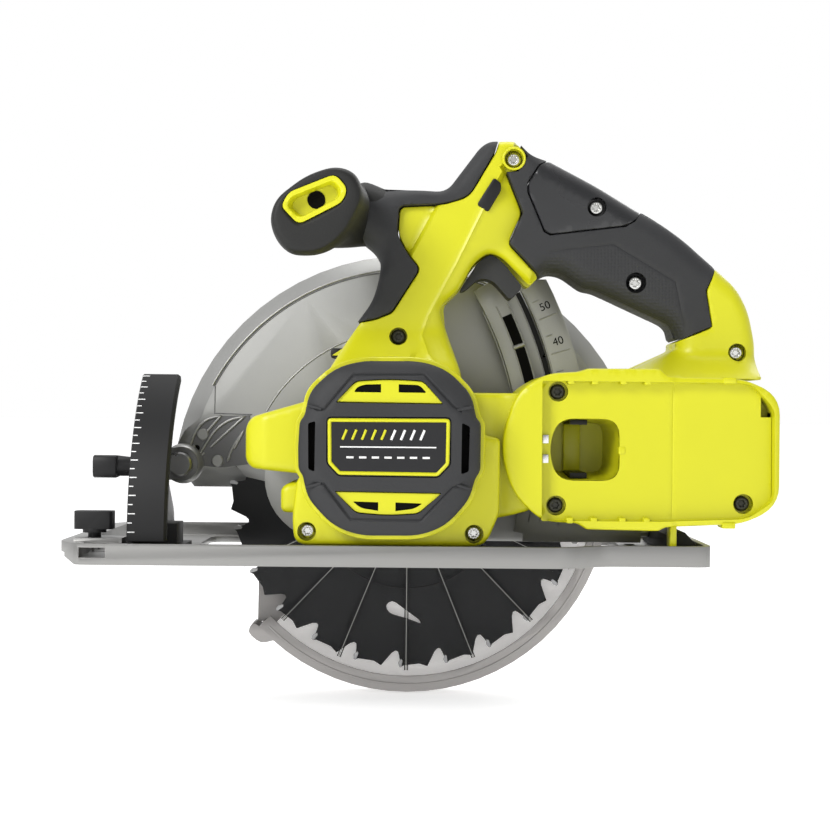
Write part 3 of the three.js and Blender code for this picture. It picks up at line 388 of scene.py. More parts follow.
def panel(name, corners, face, back, material, body="saw_body", edge=0.6, handle=False, holes=(), grooves=(),
          relief=None, step=2.0, grid=2.6, grip=None, replaces=(), pocket=None, smooth_angle=40):
    """A solid between a shaped face and a flat back, from an X-Z outline.

    edge: quarter-round radius along its own outline. handle: also rounded along the handle's silhouette,
    which neighbouring pieces share. holes: (corners, depth or None for right through).
    grooves: (polyline, width, depth). relief: extra depth as a function of points.
    grip: outline of its textured area. pocket: (corners, depth) hollowed out of the back.
    """
    loop = outline(corners, step)
    hole_loops = [outline(c, step * 0.7) for c, _ in holes]
    silhouette = outline(SILHOUETTE)

    def depth(points):
        h = rounding(line_distance(points, loop), edge) if edge else np.zeros(len(points))
        if handle:
            h = np.maximum(h, rounding(line_distance(points, silhouette), handle_round(points)))
        for line, width, deep in grooves:
            h = h + deep * np.exp(-((line_distance(points, line, closed=False) / width) ** 2))
        return h + relief(points) if relief else h

    # Rows of extra points where the surface bends: (points, least distance to others).
    extra = []
    if edge:
        extra += [(offset_points(loop, edge * k), edge * k * 0.8) for k in (0.134, 0.5, 1.0)]
    if handle:
        r_max = float(handle_round(silhouette).max())
        extra += [(offset_points(silhouette, r_max * k), 0.5) for k in (0.03, 0.12, 0.26, 0.45, 0.7, 1.0)]
    for line, width, _ in grooves:
        line = np.asarray(line, float)
        dense = [line[0]]
        for a, b in zip(line[:-1], line[1:]):
            parts = max(1, int(np.linalg.norm(b - a) / 1.2))
            dense += [a + (b - a) * k / parts for k in range(1, parts + 1)]
        dense = np.array(dense)
        side = sideways(np.gradient(dense, axis=0))
        extra += [(dense + side * width * k, 0.3) for k in (-1.8, -0.8, 0, 0.8, 1.8)]
    lo, hi = loop.min(0), loop.max(0)
    xs, zs = np.arange(lo[0], hi[0], grid), np.arange(lo[1], hi[1], grid * 0.87)
    cells = np.array([(x + (grid / 2 if j % 2 else 0), z) for j, z in enumerate(zs) for x in xs])
    extra.append((cells, grid * 0.45))

    pts = [loop] + hole_loops
    inner = []
    for batch, margin in extra:
        ok = inside(batch, loop) & (line_distance(batch, loop) > min(margin, 0.6) * 0.5)
        for h in hole_loops:
            ok &= ~inside(batch, h) & (line_distance(batch, h) > 0.35)
        batch = batch[ok]
        if inner:
            have = np.concatenate(inner)
            batch = np.array([p for p in batch if ((have - p) ** 2).sum(1).min() > (margin * 0.9) ** 2])
        if len(batch):
            inner.append(batch)
    flat = np.concatenate(pts + inner)
    edges = []
    start = 0
    for ring in pts:
        count = len(ring)
        edges += [(start + k, start + (k + 1) % count) for k in range(count)]
        start += count
    result = delaunay_2d_cdt([Vector(p) for p in flat], edges, [], 0, 1e-5)
    co = np.array([tuple(v) for v in result[0]])
    tris = np.array([t for t in result[2] if len(t) == 3])
    mid = co[tris].mean(1)
    ok = inside(mid, loop)
    for h in hole_loops:
        ok &= ~inside(mid, h)
    tris = tris[ok]
    used, inverse = np.unique(tris, return_inverse=True)
    tris = inverse.reshape(-1, 3)
    co = co[used]
    way = 1 if back > face else -1
    hollow = np.where(inside(co, np.array(pocket[0], float)), pocket[1], 0) if pocket else np.zeros(len(co))
    h = np.minimum(depth(co), abs(back - face) - hollow - 0.05)
    n = len(co)
    verts = [(x, face + way * d, z) for (x, z), d in zip(co, h)]
    verts += [(x, back - way * d, z) for (x, z), d in zip(co, hollow)]
    faces = [tuple(t) for t in tris] + [tuple(n + v for v in t[::-1]) for t in tris]
    sides = dict.fromkeys(pair for t in tris for pair in ((t[0], t[1]), (t[1], t[2]), (t[2], t[0])))
    faces += [(b, a, n + a, n + b) for a, b in sides if (b, a) not in sides]
    piece = add_piece(name, mesh_from(name, verts, faces), material, body, smooth_angle, replaces)
    if grip:
        attr = piece.data.attributes.new("grip", "FLOAT", "POINT")
        flat_now = np.array([(v.co.x / MM, v.co.z / MM) for v in piece.data.vertices])
        border = np.asarray(grip, float)
        amount = np.clip(line_distance(flat_now, border) / 1.5, 0, 1) * inside(flat_now, border)
        attr.data.foreach_set("value", amount.astype(np.float32))
    for k, (hole, deep) in enumerate(holes):
        if deep:
            cup(f"{name}_recess{k}", hole, face, face + way * deep, material)


def cup(name, corners, mouth, floor, material):
    """The walls and floor of a blind recess."""
    loop = outline(corners, 2.0)
    n = len(loop)
    verts = [(x, mouth + (0.4 if floor > mouth else -0.4), z) for x, z in loop] + at(floor, loop)
    faces = [(i, (i + 1) % n, n + (i + 1) % n, n + i) for i in range(n)] + [tuple(range(n, 2 * n))]
    add_piece(name, mesh_from(name, verts, faces), material)


def turned(name, profile, x, z, material, segments, replaces=()):
    """Solid of revolution from (radius, y) points about an axis along Y."""
    verts, faces = [], []
    count = len(profile)
    for i in range(segments):
        a = 2 * math.pi * i / segments
        verts += [(r * math.cos(a) + x, y, r * math.sin(a) + z) for r, y in profile]
        j = (i + 1) % segments
        faces += [(i * count + k, i * count + k + 1, j * count + k + 1, j * count + k) for k in range(count - 1)]
    add_piece(name, mesh_from(name, verts, faces), material, replaces=replaces)


def mesh_of(name, curve):
    temp = bpy.data.objects.new(name + "_curve", curve)
    SCENE.collection.objects.link(temp)
    bpy.context.view_layer.update()
    mesh = bpy.data.meshes.new_from_object(temp.evaluated_get(bpy.context.evaluated_depsgraph_get()))
    bpy.data.objects.remove(temp)
    return mesh


def bead(name, points, radius, material, body="saw_body", closed=False):
    """A rounded moulded line or rod through points."""
    curve = bpy.data.curves.new(name, "CURVE")
    curve.dimensions = "3D"
    curve.bevel_depth = radius * MM
    curve.bevel_resolution = 3
    curve.use_fill_caps = True
    spline = curve.splines.new("POLY")
    spline.points.add(len(points) - 1)
    for p, q in zip(spline.points, points):
        p.co = (*[c * MM for c in q], 1)
    spline.use_cyclic_u = closed
    add_piece(name, mesh_of(name, curve), material, body, 60)


def block(name, low, high, material, round_by, replaces=()):
    bm = bmesh.new()
    bmesh.ops.create_cube(bm, size=1)
    for v in bm.verts:
        v.co = Vector([(lo + hi) / 2 * MM + c * (hi - lo) * MM for lo, hi, c in zip(low, high, v.co)])
    bmesh.ops.bevel(bm, geom=bm.edges[:], offset=round_by * MM, segments=2, profile=0.5, affect="EDGES",
                    clamp_overlap=True)
    mesh = bpy.data.meshes.new(name)
    bm.to_mesh(mesh)
    bm.free()
    add_piece(name, mesh, material, replaces=replaces)


def loft(name, rings, material, replaces, levels=0):
    """Skin through rings of equal point count, subdivided."""
    count = len(rings[0])
    verts = [p for ring in rings for p in ring]
    faces = []
    for i in range(0, (len(rings) - 1) * count, count):
        for k in range(count):
            m = (k + 1) % count
            faces.append((i + k, i + m, i + count + m, i + count + k))
    faces += [tuple(range(count))[::-1], tuple(range(len(verts) - count, len(verts)))]
    piece = add_piece(name, mesh_from(name, verts, faces), material, smooth_angle=60, replaces=[replaces])
    if levels:
        mod = piece.modifiers.new("subdivide", "SUBSURF")
        mod.levels = mod.render_levels = levels


def torx_screw(name, x, z, seat, material):
    """Round head with a six-lobed socket, in its seat."""
    r, count = 3.5, 48
    angles = [2 * math.pi * i / count for i in range(count)]
    round_head = [1.0] * count
    lobes = [1.45 + 0.30 * math.cos(6 * a) for a in angles]

    def ring(radii, height, scale=1.0, grow=0.0):
        return [(x + (q * scale + grow) * math.cos(a), seat - height, z + (q * scale + grow) * math.sin(a))
                for q, a in zip(radii, angles)]
    rings = [ring(round_head, h, r * k) for h, k in ((0, 1), (1.2, 1), (1.75, 0.93), (2.05, 0.75))]
    rings += [ring(lobes, 2.15, grow=0.25), ring(lobes, 1.9), ring(lobes, 0.4)]
    loft(name + "_look", rings, material, name)


# ---------------------------------------------------------------- outlines of the housings
# Runs of corners that several outlines share.
GRIP_UNDERSIDE = [
    (124.6, 112, 5), (108.2, 119.5, 6), (88.6, 128.4, 5), (83.4, 129.1, 3), (78.8, 132.3, 3), (73.4, 136.2, 4),
    (66.8, 137.2, 3)]
TRIGGER_EDGE = [
    (61.8, 134.6, 2), (57.6, 130.6, 2), (44.3, 144.1, 4), (38, 146.4, 4), (31, 141.4, 5), (23.9, 128.3, 3),
    (16.6, 121.8, 3), (15, 117.5, 3), (24.5, 89, 2)]
BAND_FRONT = [(-24.2, 112.2, 1), (-17.3, 121.8, 4), (-14.2, 131.7, 5), (-13.2, 140.6, 4), (-16, 146.4, 4)]
TRUNK = [
    (-37.5, 88, 2), (-29.6, 101.9, 3), (-22.6, 112.1, 1), (-15.6, 113.4, 2), (-7.6, 116.6, 2), (5.6, 137.6, 3),
    (0.1, 144.3, 3), (-5.3, 154.1, 4), (-4.5, 167.2, 3), (16, 168.1, 4), (28.4, 171.7, 5), (40.7, 193.3, 2),
    (42.3, 198.6, 1), (50.6, 198.6, 3), (55.5, 191.5, 5), (51, 184.5, 4), (45.6, 184, 1), (53.4, 164.8, 3),
    (47, 150.1, 3), *TRIGGER_EDGE, (26, 80), (-30, 80)]
REAR = [
    (145.7, 139.3, 1), (155.9, 129.9, 5), (161.6, 119, 6), (164.9, 102.6, 5), (163, 86, 1), (98, 86, 1),
    (108.5, 92, 3), (127.7, 101, 3), (127.2, 104.1, 1), (143.8, 111, 2), (140.9, 128.2, 2)]
GRIP = [
    (52.2, 196.8, 1), (57.2, 192.0, 4), (65.4, 189.9, 1), (61.1, 187.7), (55.8, 178.9), (55.8, 174.2),
    (63.7, 155.6), (66.6, 154), (102.5, 158.4), (107, 161), (110.2, 166, 1), (118.7, 161.4, 6), (131.8, 152.3, 8),
    (145.4, 139.6, 1), (140.5, 128.2), (143.4, 111.4), (126.8, 104.6, 2), *GRIP_UNDERSIDE, (62.3, 134.9, 1),
    (47.5, 150.2), (53.8, 164.8), (46, 183.7), (51.2, 184.2), (55.8, 191.4)]
TOP_CAP = [
    (61.6, 187.3, 2), (66.4, 190, 3), (89.3, 178.4, 6), (109.9, 165.9, 2), (106.6, 161.4, 2), (102.3, 158.8, 2),
    (66.8, 154.4, 3), (64.1, 156, 2), (56.2, 174.4, 2), (56.2, 178.8, 3)]
BAND = [
    *BAND_FRONT, (-22, 151, 2), (-22, 176.6), (0, 175.6), (17.4, 174.6, 5), (33.4, 196, 4), (37.6, 198.6, 3),
    (41.9, 198.6, 1), (40.3, 193.6, 2), (28.1, 172.1, 5), (16, 168.5, 4), (-4.9, 167.6, 3), (-5.8, 154, 4),
    (-0.4, 144.2, 3), (5.1, 137.7, 3), (-8, 117.1, 2), (-15.7, 113.8, 2)]
SILHOUETTE = [
    (-37.5, 70), (-37.5, 88, 2), (-29.6, 101.9, 3), *BAND_FRONT, (-22, 151), (-60, 151), (-60, 176.6), (0, 175.6),
    (17.4, 174.6, 5), (33.4, 196, 4), (37.6, 198.8, 3), (51.8, 198.8, 4), (58, 192.6, 5), (66.6, 190.2, 3),
    (89.3, 178.4, 6), (110, 165.9, 6), (118.7, 161.4, 6), (131.8, 152.3, 8), (145.5, 139.4, 5), (155.9, 129.9, 5),
    (161.6, 119, 6), (164.9, 102.6, 5), (163, 70), (120, 70), (98, 86, 4), (108.5, 92, 3), (127.7, 101, 3),
    (127.4, 104, 3), *GRIP_UNDERSIDE, *TRIGGER_EDGE, (26, 70)]


def handle_round(points):
    """Edge radius of the handle: small on the trunk, large round the main grip and the front bar."""
    x, z = points[:, 0], points[:, 1]
    main = np.clip((x - 52) / 12, 0, 1)
    rear = np.clip((x - 138) / 14, 0, 1)
    bar = np.clip((-x + 6) / 16, 0, 1) * np.clip((z - 134) / 16, 0, 1)
    front_top = np.clip((z - 168) / 10, 0, 1) * np.clip((46 - x) / 10, 0, 1)
    return 3.5 + 6.0 * main * (1 - 0.45 * rear) + 7.5 * bar + 3.0 * front_top * (1 - bar)


PANEL = [(66.5, 145.5), (72, 147), (96.7, 150), (126.1, 132.5), (130.4, 111.5)]
PANEL_LOOP = PANEL + [(131, 100), (60, 120), (62, 141)]


def circle(x, z, r, n=28):
    return [(x + r * math.cos(2 * math.pi * i / n), z + r * math.sin(2 * math.pi * i / n)) for i in range(n)]


TRUNK_RIDGE = np.array([(36, 168), (23, 141), (9.5, 115.5), (6.5, 106), (9.5, 97), (17, 88)], float)


def trunk_relief(points):
    x, z = points[:, 0], points[:, 1]
    d = line_distance(points, TRUNK_RIDGE, closed=False)
    # Which side of the ridge: its line runs up to the right.
    side = (x - 36) * (141 - 168) - (z - 168) * (23 - 36)
    low = np.clip((112 - z) / 24, 0, 1)
    left = side > 0
    h = np.where(left, 0.05 * d, 0.30 * np.clip(d, 0, 16)) * np.clip((z - 84) / 12, 0, 1)
    # Flap beside the raised band, set back behind a step.
    step = (x - 0.3) * (167.5 - 143.4) - (z - 143.4) * (13.4 - 0.3)
    flap = (step < 0) & (x < 14) & (z > 138) & (z < 169)
    gap = np.clip(-step / 27.4, 0, 1.2) / 1.2
    h = np.where(flap, h + 2.6 * gap, h)
    # The foot swells towards the motor.
    return h - 12.5 * (low * low * (3 - 2 * low))


# ---------------------------------------------------------------- main housing
VENTS = [[(-31.6, 74, 1), (-22.7, 83.2, 2), (-8, 84.2, 8), (6.9, 83.4, 2), (16, 73.6, 1)],
         [(-31.8, 34.4, 1), (15.7, 33.9, 1), (5.3, 25, 2), (-8.5, 24, 8), (-22.2, 25.2, 2)]]
SIDE_VENTS = [[(-43.8, 64.5, 1), (-40.5, 65.5, 1), (-40.7, 43, 1), (-43.5, 44.1, 1)],
              [(24.3, 65.2, 1), (27.9, 63.6, 1), (27.5, 43.6, 1), (24.1, 42.4, 1)]]
TRIGGER_ROOM = [(16, 118), (52, 116), (64, 132), (62, 141), (52, 148), (39, 151.5), (29, 148), (19, 131)]
SLITS = [[[(-23.7, 78.4, 1), (-22.1, 80.6, 1), (-19, 81.8, 2), (-11.6, 82), (-11.6, 78.3)],
          [(-3.8, 82), (5.4, 81.8, 2), (8.6, 78.3, 1), (-3.8, 78.4)]],
         [[(-23.8, 30.1, 1), (-12.4, 29.8), (-12.4, 26), (-20, 27.1, 2)],
          [(-4.8, 29.8), (7.2, 29.4, 1), (3.5, 27, 2), (-4.8, 25.9)]]]
BADGE = [
    (-35.5, 67.2, 2.4), (19.5, 67.4, 2.4), (19.3, 46.6, 1.4), (14.1, 41.1, 1.4), (-30.2, 41.4, 1.4),
    (-35.2, 46.8, 1.4)]
CAP_OUTLINE = [
    (-48.4, 54, 2), (-47.8, 65, 2), (-45.6, 68, 1), (-43.4, 78.7, 5), (-33, 88.6, 8), (-21.5, 92.3, 8),
    (6.3, 92.5, 8), (18, 88.5, 8), (28.6, 77.8, 5), (30.8, 67.5, 1), (32.9, 65, 2), (32.8, 43.8, 2),
    (30.6, 40.5, 1), (27.9, 31, 5), (18, 19.6, 8), (6.3, 14.8, 8), (-20.9, 14.6, 8), (-32.8, 19, 8), (-43.9, 31, 5),
    (-46.2, 41, 1), (-48.2, 44, 2)]
SOCKET = [
    (42, 54, 16), (50, 80, 14), (64, 88, 5), (79, 89, 2), (82, 90.4, 1), (115, 90.6, 1), (119, 87, 2),
    (155, 86.3, 8), (170, 78, 10), (170, 29, 9), (155, 20, 8), (118, 18.3, 2), (115, 16.5, 1), (82, 17, 1),
    (78, 19.7, 2), (62, 20.5, 6), (49, 32, 14)]
DECK_PLAN = [
    (61.4, 84.6, 1), (61.6, 20.8, 1), (116.9, 20.8, 1), (155, 22.2, 4), (167.6, 30.5, 4), (167.4, 72.5, 4),
    (156.8, 84.3, 5)]
WELL = [(64.8, 53, 9), (69, 67.5, 9), (97.5, 67.5, 8), (97.8, 39, 8), (69, 39, 9)]
NOTCH = [(162.3, 79), (162.3, 68.8), (167, 68.8), (167, 75)]
SCREWS = {
    "trunk_top_screw": (49.2, 190, -36.2), "cap_screw": (88.6, 167.5, -36.2), "grip_screw": (107.4, 131.9, -36.2),
    "rear_handle_screw": (155.4, 99.3, -36.2), "trunk_screw": (-4.7, 105.5, -36.2),
    "deck_screw_upper": (69.2, 79.8, -56), "deck_screw_lower": (68.6, 27.5, -56),
    "deck_screw_rear": (154.6, 28.9, -56), "base_screw_front": (-45.3, 15.2, -62),
    "base_screw_rear": (30.8, 14.6, -62)}


def screw_hole(name, r=4.3):
    x, z, _ = SCREWS[name]
    return circle(x, z, r, 26)


def housing():
    panel("trunk_shell", TRUNK, FACE, SPLIT - 0.15, "lime", edge=0.9, handle=True,
          relief=trunk_relief, replaces=NEAR_HALF,
          grooves=[(TRUNK_RIDGE, 0.7, -0.5), ([(0.3, 143.4), (13.4, 167.5)], 0.5, 0.8)],
          holes=[(screw_hole("trunk_top_screw"), 6), (screw_hole("trunk_screw"), 6)], smooth_angle=28,
          pocket=(TRIGGER_ROOM, 9))
    panel("rear_strut_shell", REAR, FACE, SPLIT - 0.15, "lime", edge=0.9, handle=True,
          relief=lambda p: -20.0 * np.clip((99 - p[:, 1]) / 12, 0, 1) ** 1.5, replaces=NEAR_HALF,
          holes=[(screw_hole("rear_handle_screw"), 6)])
    # Motor barrel, its flange on the guard and the two bosses in front.
    barrel = [(37.2, -6.3), (42, -6.3), (42, -60), (41.2, -64.5), (39.6, -67.6), (38.6, -68), (37.2, -68)]
    turned("motor_barrel", barrel, *MOTOR, "lime", 96, replaces=NEAR_HALF)
    base = [(-51, 8.9, 6), (36, 8.9, 6), (42.3, 24, 3), (42.3, 58, 2), (26, 62), (26, 30), (12, 20), (-26, 20),
            (-40, 30), (-42, 42), (-50, 40, 5), (-52, 22, 4)]
    panel("motor_flange", base, -64, -6.5, "lime", edge=2.2, replaces=NEAR_HALF,
          holes=[(screw_hole("base_screw_front"), 7), (screw_hole("base_screw_rear"), 7)])
    panel("gearbox_boss", [(-75, 47, 4), (-71.9, 43.2, 4), (-44, 40.5), (-38, 77), (-72.1, 67, 5), (-75, 62.5, 4)],
          -56, -12, "lime", edge=3.2, relief=lambda p: 5 * np.clip((-66 - p[:, 0]) / 9, 0, 1), replaces=NEAR_HALF)
    panel("lower_boss", [(-58, 23.2, 3), (-40, 22.5), (-40, 38), (-55.4, 36.4, 4), (-58, 34, 3)], -56, -12, "lime",
          edge=3, replaces=NEAR_HALF)
    panel("bridge_shell", [(22, 17.2, 3), (46, 22, 3), (57.5, 25, 3), (57.5, 79, 4), (22, 79)],
          -54, -6.5, "lime", edge=2.0,
          relief=lambda p: 1.5 * np.exp(-((p[:, 0] - 43) / 4) ** 2), replaces=NEAR_HALF)
    # Battery seat: frame, recessed deck, well.
    panel("battery_frame", SOCKET, DECK, 1.9, "lime", edge=1.4,
          relief=lambda p: 0.9 * np.clip((p[:, 0] - 121.2) / 0.8, 0, 1) * ((p[:, 1] > 83) | (p[:, 1] < 23)) + 1.2 *
          np.clip((56 - p[:, 0]) / 12, 0, 1), holes=[(DECK_PLAN, None)], replaces=NEAR_HALF, step=1.6)
    deck_screws = [(screw_hole(f"deck_screw_{k}", 4.6), 5) for k in ("upper", "lower", "rear")]
    panel("battery_deck", [(x * 0.995 + 0.6, z + (0.5 if z > 50 else -0.5), *f) for x, z, *f in DECK_PLAN],
          -56, -44, "lime", edge=0, holes=[(WELL, None), *deck_screws, (NOTCH, 8)],
          grooves=[([(122, 23.5), (122, 83)], 0.35, 0.35)], replaces=NEAR_HALF)
    well_ring = outline(WELL, 1.2)
    n = len(well_ring)
    inner = offset_points(well_ring, 2.2)
    verts = at(-55.9, well_ring) + at(-50, well_ring) + at(-8.2, inner)
    faces = [(i + k, (i + 1) % n + k, (i + 1) % n + k + n, i + k + n) for i in range(n) for k in (0, n)]
    faces.append(tuple(range(2 * n, 3 * n)))
    add_piece("battery_well", mesh_from("battery_well", verts, faces), "lime", replaces=NEAR_HALF)
    # A key notch on the well's edge, and the contacts.
    block("well_key", (97.2, -56.3, 51.3), (100.2, -48, 54.7), "lime", 0.3)
    for k, z in enumerate((58, 49)):
        block(f"contact_clip_{k}", (61.9, -57.6, z - 2), (64.9, -50, z + 2), "zinc", 0.3)
    for name, z0, z1 in (("lower", 39.6, 42.2), ("upper", 64.6, 66.9)):
        block(f"terminal_{name}", (76, -44, z0), (84, -8.3, z1), "black", 0.3, replaces=["terminal_block"])
    block("terminal_floor", (76, -12, 39.6), (84, -8.3, 66.9), "lime", 0.3, replaces=["terminal_block"])
    # Catches along the thick edges, and guide tabs.
    for k, x in enumerate((73, 84, 97, 108)):
        block(f"catch_upper_{k}", (x, -61.9, 83.2), (x + 3, -56, 85.9), "lime", 0.5)
        block(f"catch_lower_{k}", (x, -61.9, 19.7), (x + 3, -56, 22.4), "lime", 0.5)
    for k, (z0, z1) in enumerate(((84, 86.9), (17.9, 20.6))):
        block(f"guide_tab_{k}", (144, -61.6, z0), (150, -50, z1), "lime", 0.5)
    block("stop_rib", (121.2, -56, 8.6), (124.2, -46, 20), "lime", 0.5)
    bead("trunk_ring", at(-36.2, circle(49.2, 190, 5.0, 40)), 0.6, "lime", closed=True)
    block("handle_stop_bump", (-37.6, -17.4, 95.6), (-31, -8, 100.6), "black", 1.2)


def fasteners():
    dark = {"trunk_screw", "deck_screw_upper", "deck_screw_lower", "deck_screw_rear"}
    for name, (x, z, y) in SCREWS.items():
        torx_screw(name, x, z, y + 5.0, "screw_dark" if name in dark else "screw")


def motor_end():
    def grow(corners, by):
        grown = offset_points(np.array([c[:2] for c in corners], float), -by)
        return [(x, z, *c[2:]) for (x, z), c in zip(grown, corners)]

    def cap_relief(p):
        # Outer facets fall away behind the flat ring round the vents.
        d = line_distance(p, outline(CAP_OUTLINE))
        return 3.6 * np.clip(1 - d / 7.5, 0, 1) ** 1.2

    grooves = []
    for line in ([(-40, 70.5), (-36.5, 70.5), (-23.5, 86.2), (7.5, 86.4), (20.5, 72.5), (23.8, 70.5)],
                 [(-40, 37.8), (-36.5, 37.8), (-24.5, 22.2), (6.5, 22), (20.5, 36.6), (24, 37.6)]):
        grooves.append((line, 0.55, 0.9))
    panel("motor_bumper", CAP_OUTLINE, CAP, -70, "rubber", edge=2.2, relief=cap_relief, grooves=grooves,
          holes=[(grow(v, 0.3), None) for v in VENTS] + [(v, None) for v in SIDE_VENTS] + [(grow(BADGE, 0.3), 2.2)],
          replaces=["end_cap_bumper"], step=1.8)
    # Bars across the four octagon corners.
    for k, (a, b) in enumerate([((-44.2, 72.5), (-37.8, 70.8)), ((28.4, 72), (22, 70.8)),
                                ((-44.3, 36), (-37.8, 38)), ((28.2, 36), (22.2, 37.8))]):
        bead(f"bumper_bar_{k}", [(a[0], -82.4, a[1]), (b[0], -83.2, b[1])], 0.75, "rubber")
    # Faces of the two vents, with the tapered slits between their rims and tabs.
    for k, (corners, slits) in enumerate(zip(VENTS, SLITS)):
        panel(f"vent_face_{k}", corners, -83.1, -82.05, "lime", edge=0.5, holes=[(c, None) for c in slits],
              replaces=["end_cap"], step=1.6)
        for j, slit in enumerate(slits):
            # A dark sheet behind each slit: painted shade.
            panel(f"vent_dark_{k}{j}", slit, -82.35, -82.1, "dark", edge=0)
    # Dark sheets behind the side vents: painted shade.
    for k, corners in enumerate(SIDE_VENTS):
        panel(f"side_vent_dark_{k}", grow(corners, 0.6), -78.4, -77.6, "dark", edge=0)
    panel("motor_collar", grow(CAP_OUTLINE, 2.1), -74, -60, "lime", edge=0.9, replaces=NEAR_HALF, step=1.8)
    panel("badge_face", BADGE, -83.9, -82.3, "badge", edge=0.5, replaces=["badge_plate"])
    frame_line = offset_points(outline(BADGE, 1.5), 1.25)
    bead("badge_outline", at(-83.7, frame_line), 0.85, "lime", closed=True)
    for k in range(9):
        slash = at(-84.0, [(-28.4 + 4.3 * k, 57.4), (-26.6 + 4.3 * k, 61.8)])
        bead(f"badge_slash_{k}", slash, 0.58, "lime" if k < 5 else "white")
    bead("badge_rule", [(-29.4, -84.25, 54.2), (13, -84.25, 54.2)], 0.32, "white")
    for k in range(7):
        bead(f"badge_dash_{k}", [(-26.6 + 5.6 * k, -84.1, 49.6), (-23.4 + 5.6 * k, -84.1, 49.6)], 0.5, "white")


# ---------------------------------------------------------------- grips
HORN_END = [
    (-62.5, 154, 7), (-59, 145, 5), (-53, 139.3, 5), (-39, 139.3, 8), (-28, 148, 8), (-19, 166, 9), (-24, 177, 6),
    (-33, 179.3, 6), (-46, 175, 7), (-60, 164, 7)]
RING_OUT = [
    (-56.5, 160.2, 2), (-53.5, 166.4, 3), (-32.7, 174.8, 3), (-27, 168.4, 3), (-29.3, 162.4, 3), (-48.9, 152.2, 3)]
BOWL = [
    (-54, 160.4, 2), (-52, 164.4, 2), (-33.6, 171.9, 2), (-29.8, 167.8, 2), (-31.3, 164, 2), (-48.4, 155, 3)]


def even_ring(corners, n):
    """n points evenly spaced along the outline through corners, from the angle zero about its middle."""
    loop = outline(corners, 1.0)

    def angles():
        way = loop - loop.mean(0)
        return np.unwrap(np.arctan2(way[:, 1], way[:, 0]))
    angle = angles()
    if angle[-1] < angle[0]:
        loop = loop[::-1]
        angle = angles()
    closed = np.vstack([loop, loop[:1]])
    seg = np.linalg.norm(np.diff(closed, axis=0), axis=1)
    dist = np.concatenate([[0], np.cumsum(seg)])
    first = int(np.argmin(np.abs(((angle + math.pi) % (2 * math.pi)) - math.pi)))
    want = (dist[first] + np.arange(n) / n * dist[-1]) % dist[-1]
    return np.stack([np.interp(want, dist, closed[:, 0]), np.interp(want, dist, closed[:, 1])], 1)


def horn():
    """Front handle: an elbow that leaves the trunk sideways and turns towards the motor side."""
    n = 56
    end = even_ring(HORN_END, n)
    middle = end.mean(0)
    # Sections across X, from the trunk to the bend: superellipses with half widths up and across.
    turns = 2 * math.pi * np.arange(n) / n
    across, up = (np.sign(f) * np.abs(f) ** (2 / 2.7) for f in (np.cos(turns), np.sin(turns)))
    rings = [np.stack([np.full(n, x), MID - across * half_y, z + up * half_z], 1) for x, z, half_z, half_y in (
        (-6.6, 161, 14.0, 17.5), (-10, 162, 14.0, 17.5), (-15, 164, 14.4, 17.4), (-21, 165.5, 15.2, 17.2))]
    # Elbow: from the last section across X to the end section across Y.
    last = rings[-1] - (0, MID, 165.5)
    neck = middle + (end - middle) * 0.74 + (7, 2)
    centre = neck.mean(0)
    for w in np.arange(1, 6) / 6:
        turn = math.radians(90 * w)
        across, up = ((neck - centre) * w + last[:, 1:] * (-1, 1) * (1 - w)).T
        # The centre runs on a quarter arc, while the section's across direction turns from Y to X.
        rings.append(np.stack([-21 - (abs(centre[0]) - 21) * math.sin(turn) + across * math.sin(turn),
                               MID - 26 * (1 - math.cos(turn)) - across * math.cos(turn),
                               165.5 * (1 - w) + centre[1] * w + up], 1))
    for y, w in ((-48, 0.0), (-56, 0.4), (-64, 0.78), (-70, 0.96)):
        rings.append(at(y, neck * (1 - w) + end * w))
    for y, k in ((-76, 1.0), (-80.6, 0.97), (-82.6, 0.92), (-83, 0.86)):
        rings.append(at(y, middle + (end - middle) * k))
    # A pocket in the end face takes the insert.
    seat = even_ring(RING_OUT, n)
    rings += [at(y, seat) for y in (-83, -82.4, -76, -75.4)]
    loft("front_handle", rings, "horn", "front_grip", levels=1)


def grips():
    for name, face, back, node in (("handle_grip_near", FACE, SPLIT - 0.15, "handle_grip_left"),
                                   ("handle_grip_far", BACK, SPLIT + 0.15, "handle_grip_right")):
        panel(name, GRIP, face, back, "rubber", edge=0.7, handle=True, replaces=[node],
              grooves=[(PANEL, 0.5, 0.45)], grip=PANEL_LOOP,
              holes=[(screw_hole("grip_screw", 4.9), 6)] if face == FACE else (), step=1.8, grid=2.2)
    for name, face, back in (("top_cap_near", FACE, SPLIT), ("top_cap_far", BACK, SPLIT)):
        panel(name, TOP_CAP, face, back, "gloss", edge=0.9, handle=True, replaces=["handle_top_cap"],
              holes=[(screw_hole("cap_screw", 4.6), 6)] if face == FACE else ())
    for name, face, back in (("front_band_near", FACE, SPLIT), ("front_band_far", BACK, SPLIT)):
        panel(name, BAND, face, back, "rubber", edge=0.7, handle=True, replaces=["front_grip"])
    horn()
    # Lime insert: a raised lip round a deep bowl with a round hole in its floor.
    lip_out, lip_in, floor = (even_ring(c, 64) for c in (RING_OUT, BOWL, BOWL))
    middle = floor.mean(0)
    floor = middle + (floor - middle) * 0.86
    hole = np.array(circle(-41.3, 164.4, 3.2, 64))
    start = int(np.argmin(((hole - floor[0]) ** 2).sum(1)))
    hole = np.roll(hole, -start, axis=0)
    rings = [at(y, middle + (ring - middle) * k) for ring, k, y in (
        (lip_out, 0.99, -75.6), (lip_out, 0.995, -82.6), (lip_out, 0.985, -83.3), (lip_in, 1.035, -83.5),
        (lip_in, 1, -83.0), (floor, 1, -77.2), (hole, 1, -77.1), (hole, 1, -74.6))]
    loft("front_handle_insert", rings, "lime", "front_grip_insert")
    # A dark disc down in the insert's hole: painted shade.
    panel("insert_hole_painted_shade", circle(-41.3, 164.0, 4.0, 32), -77.5, -76.9, "dark", edge=0)


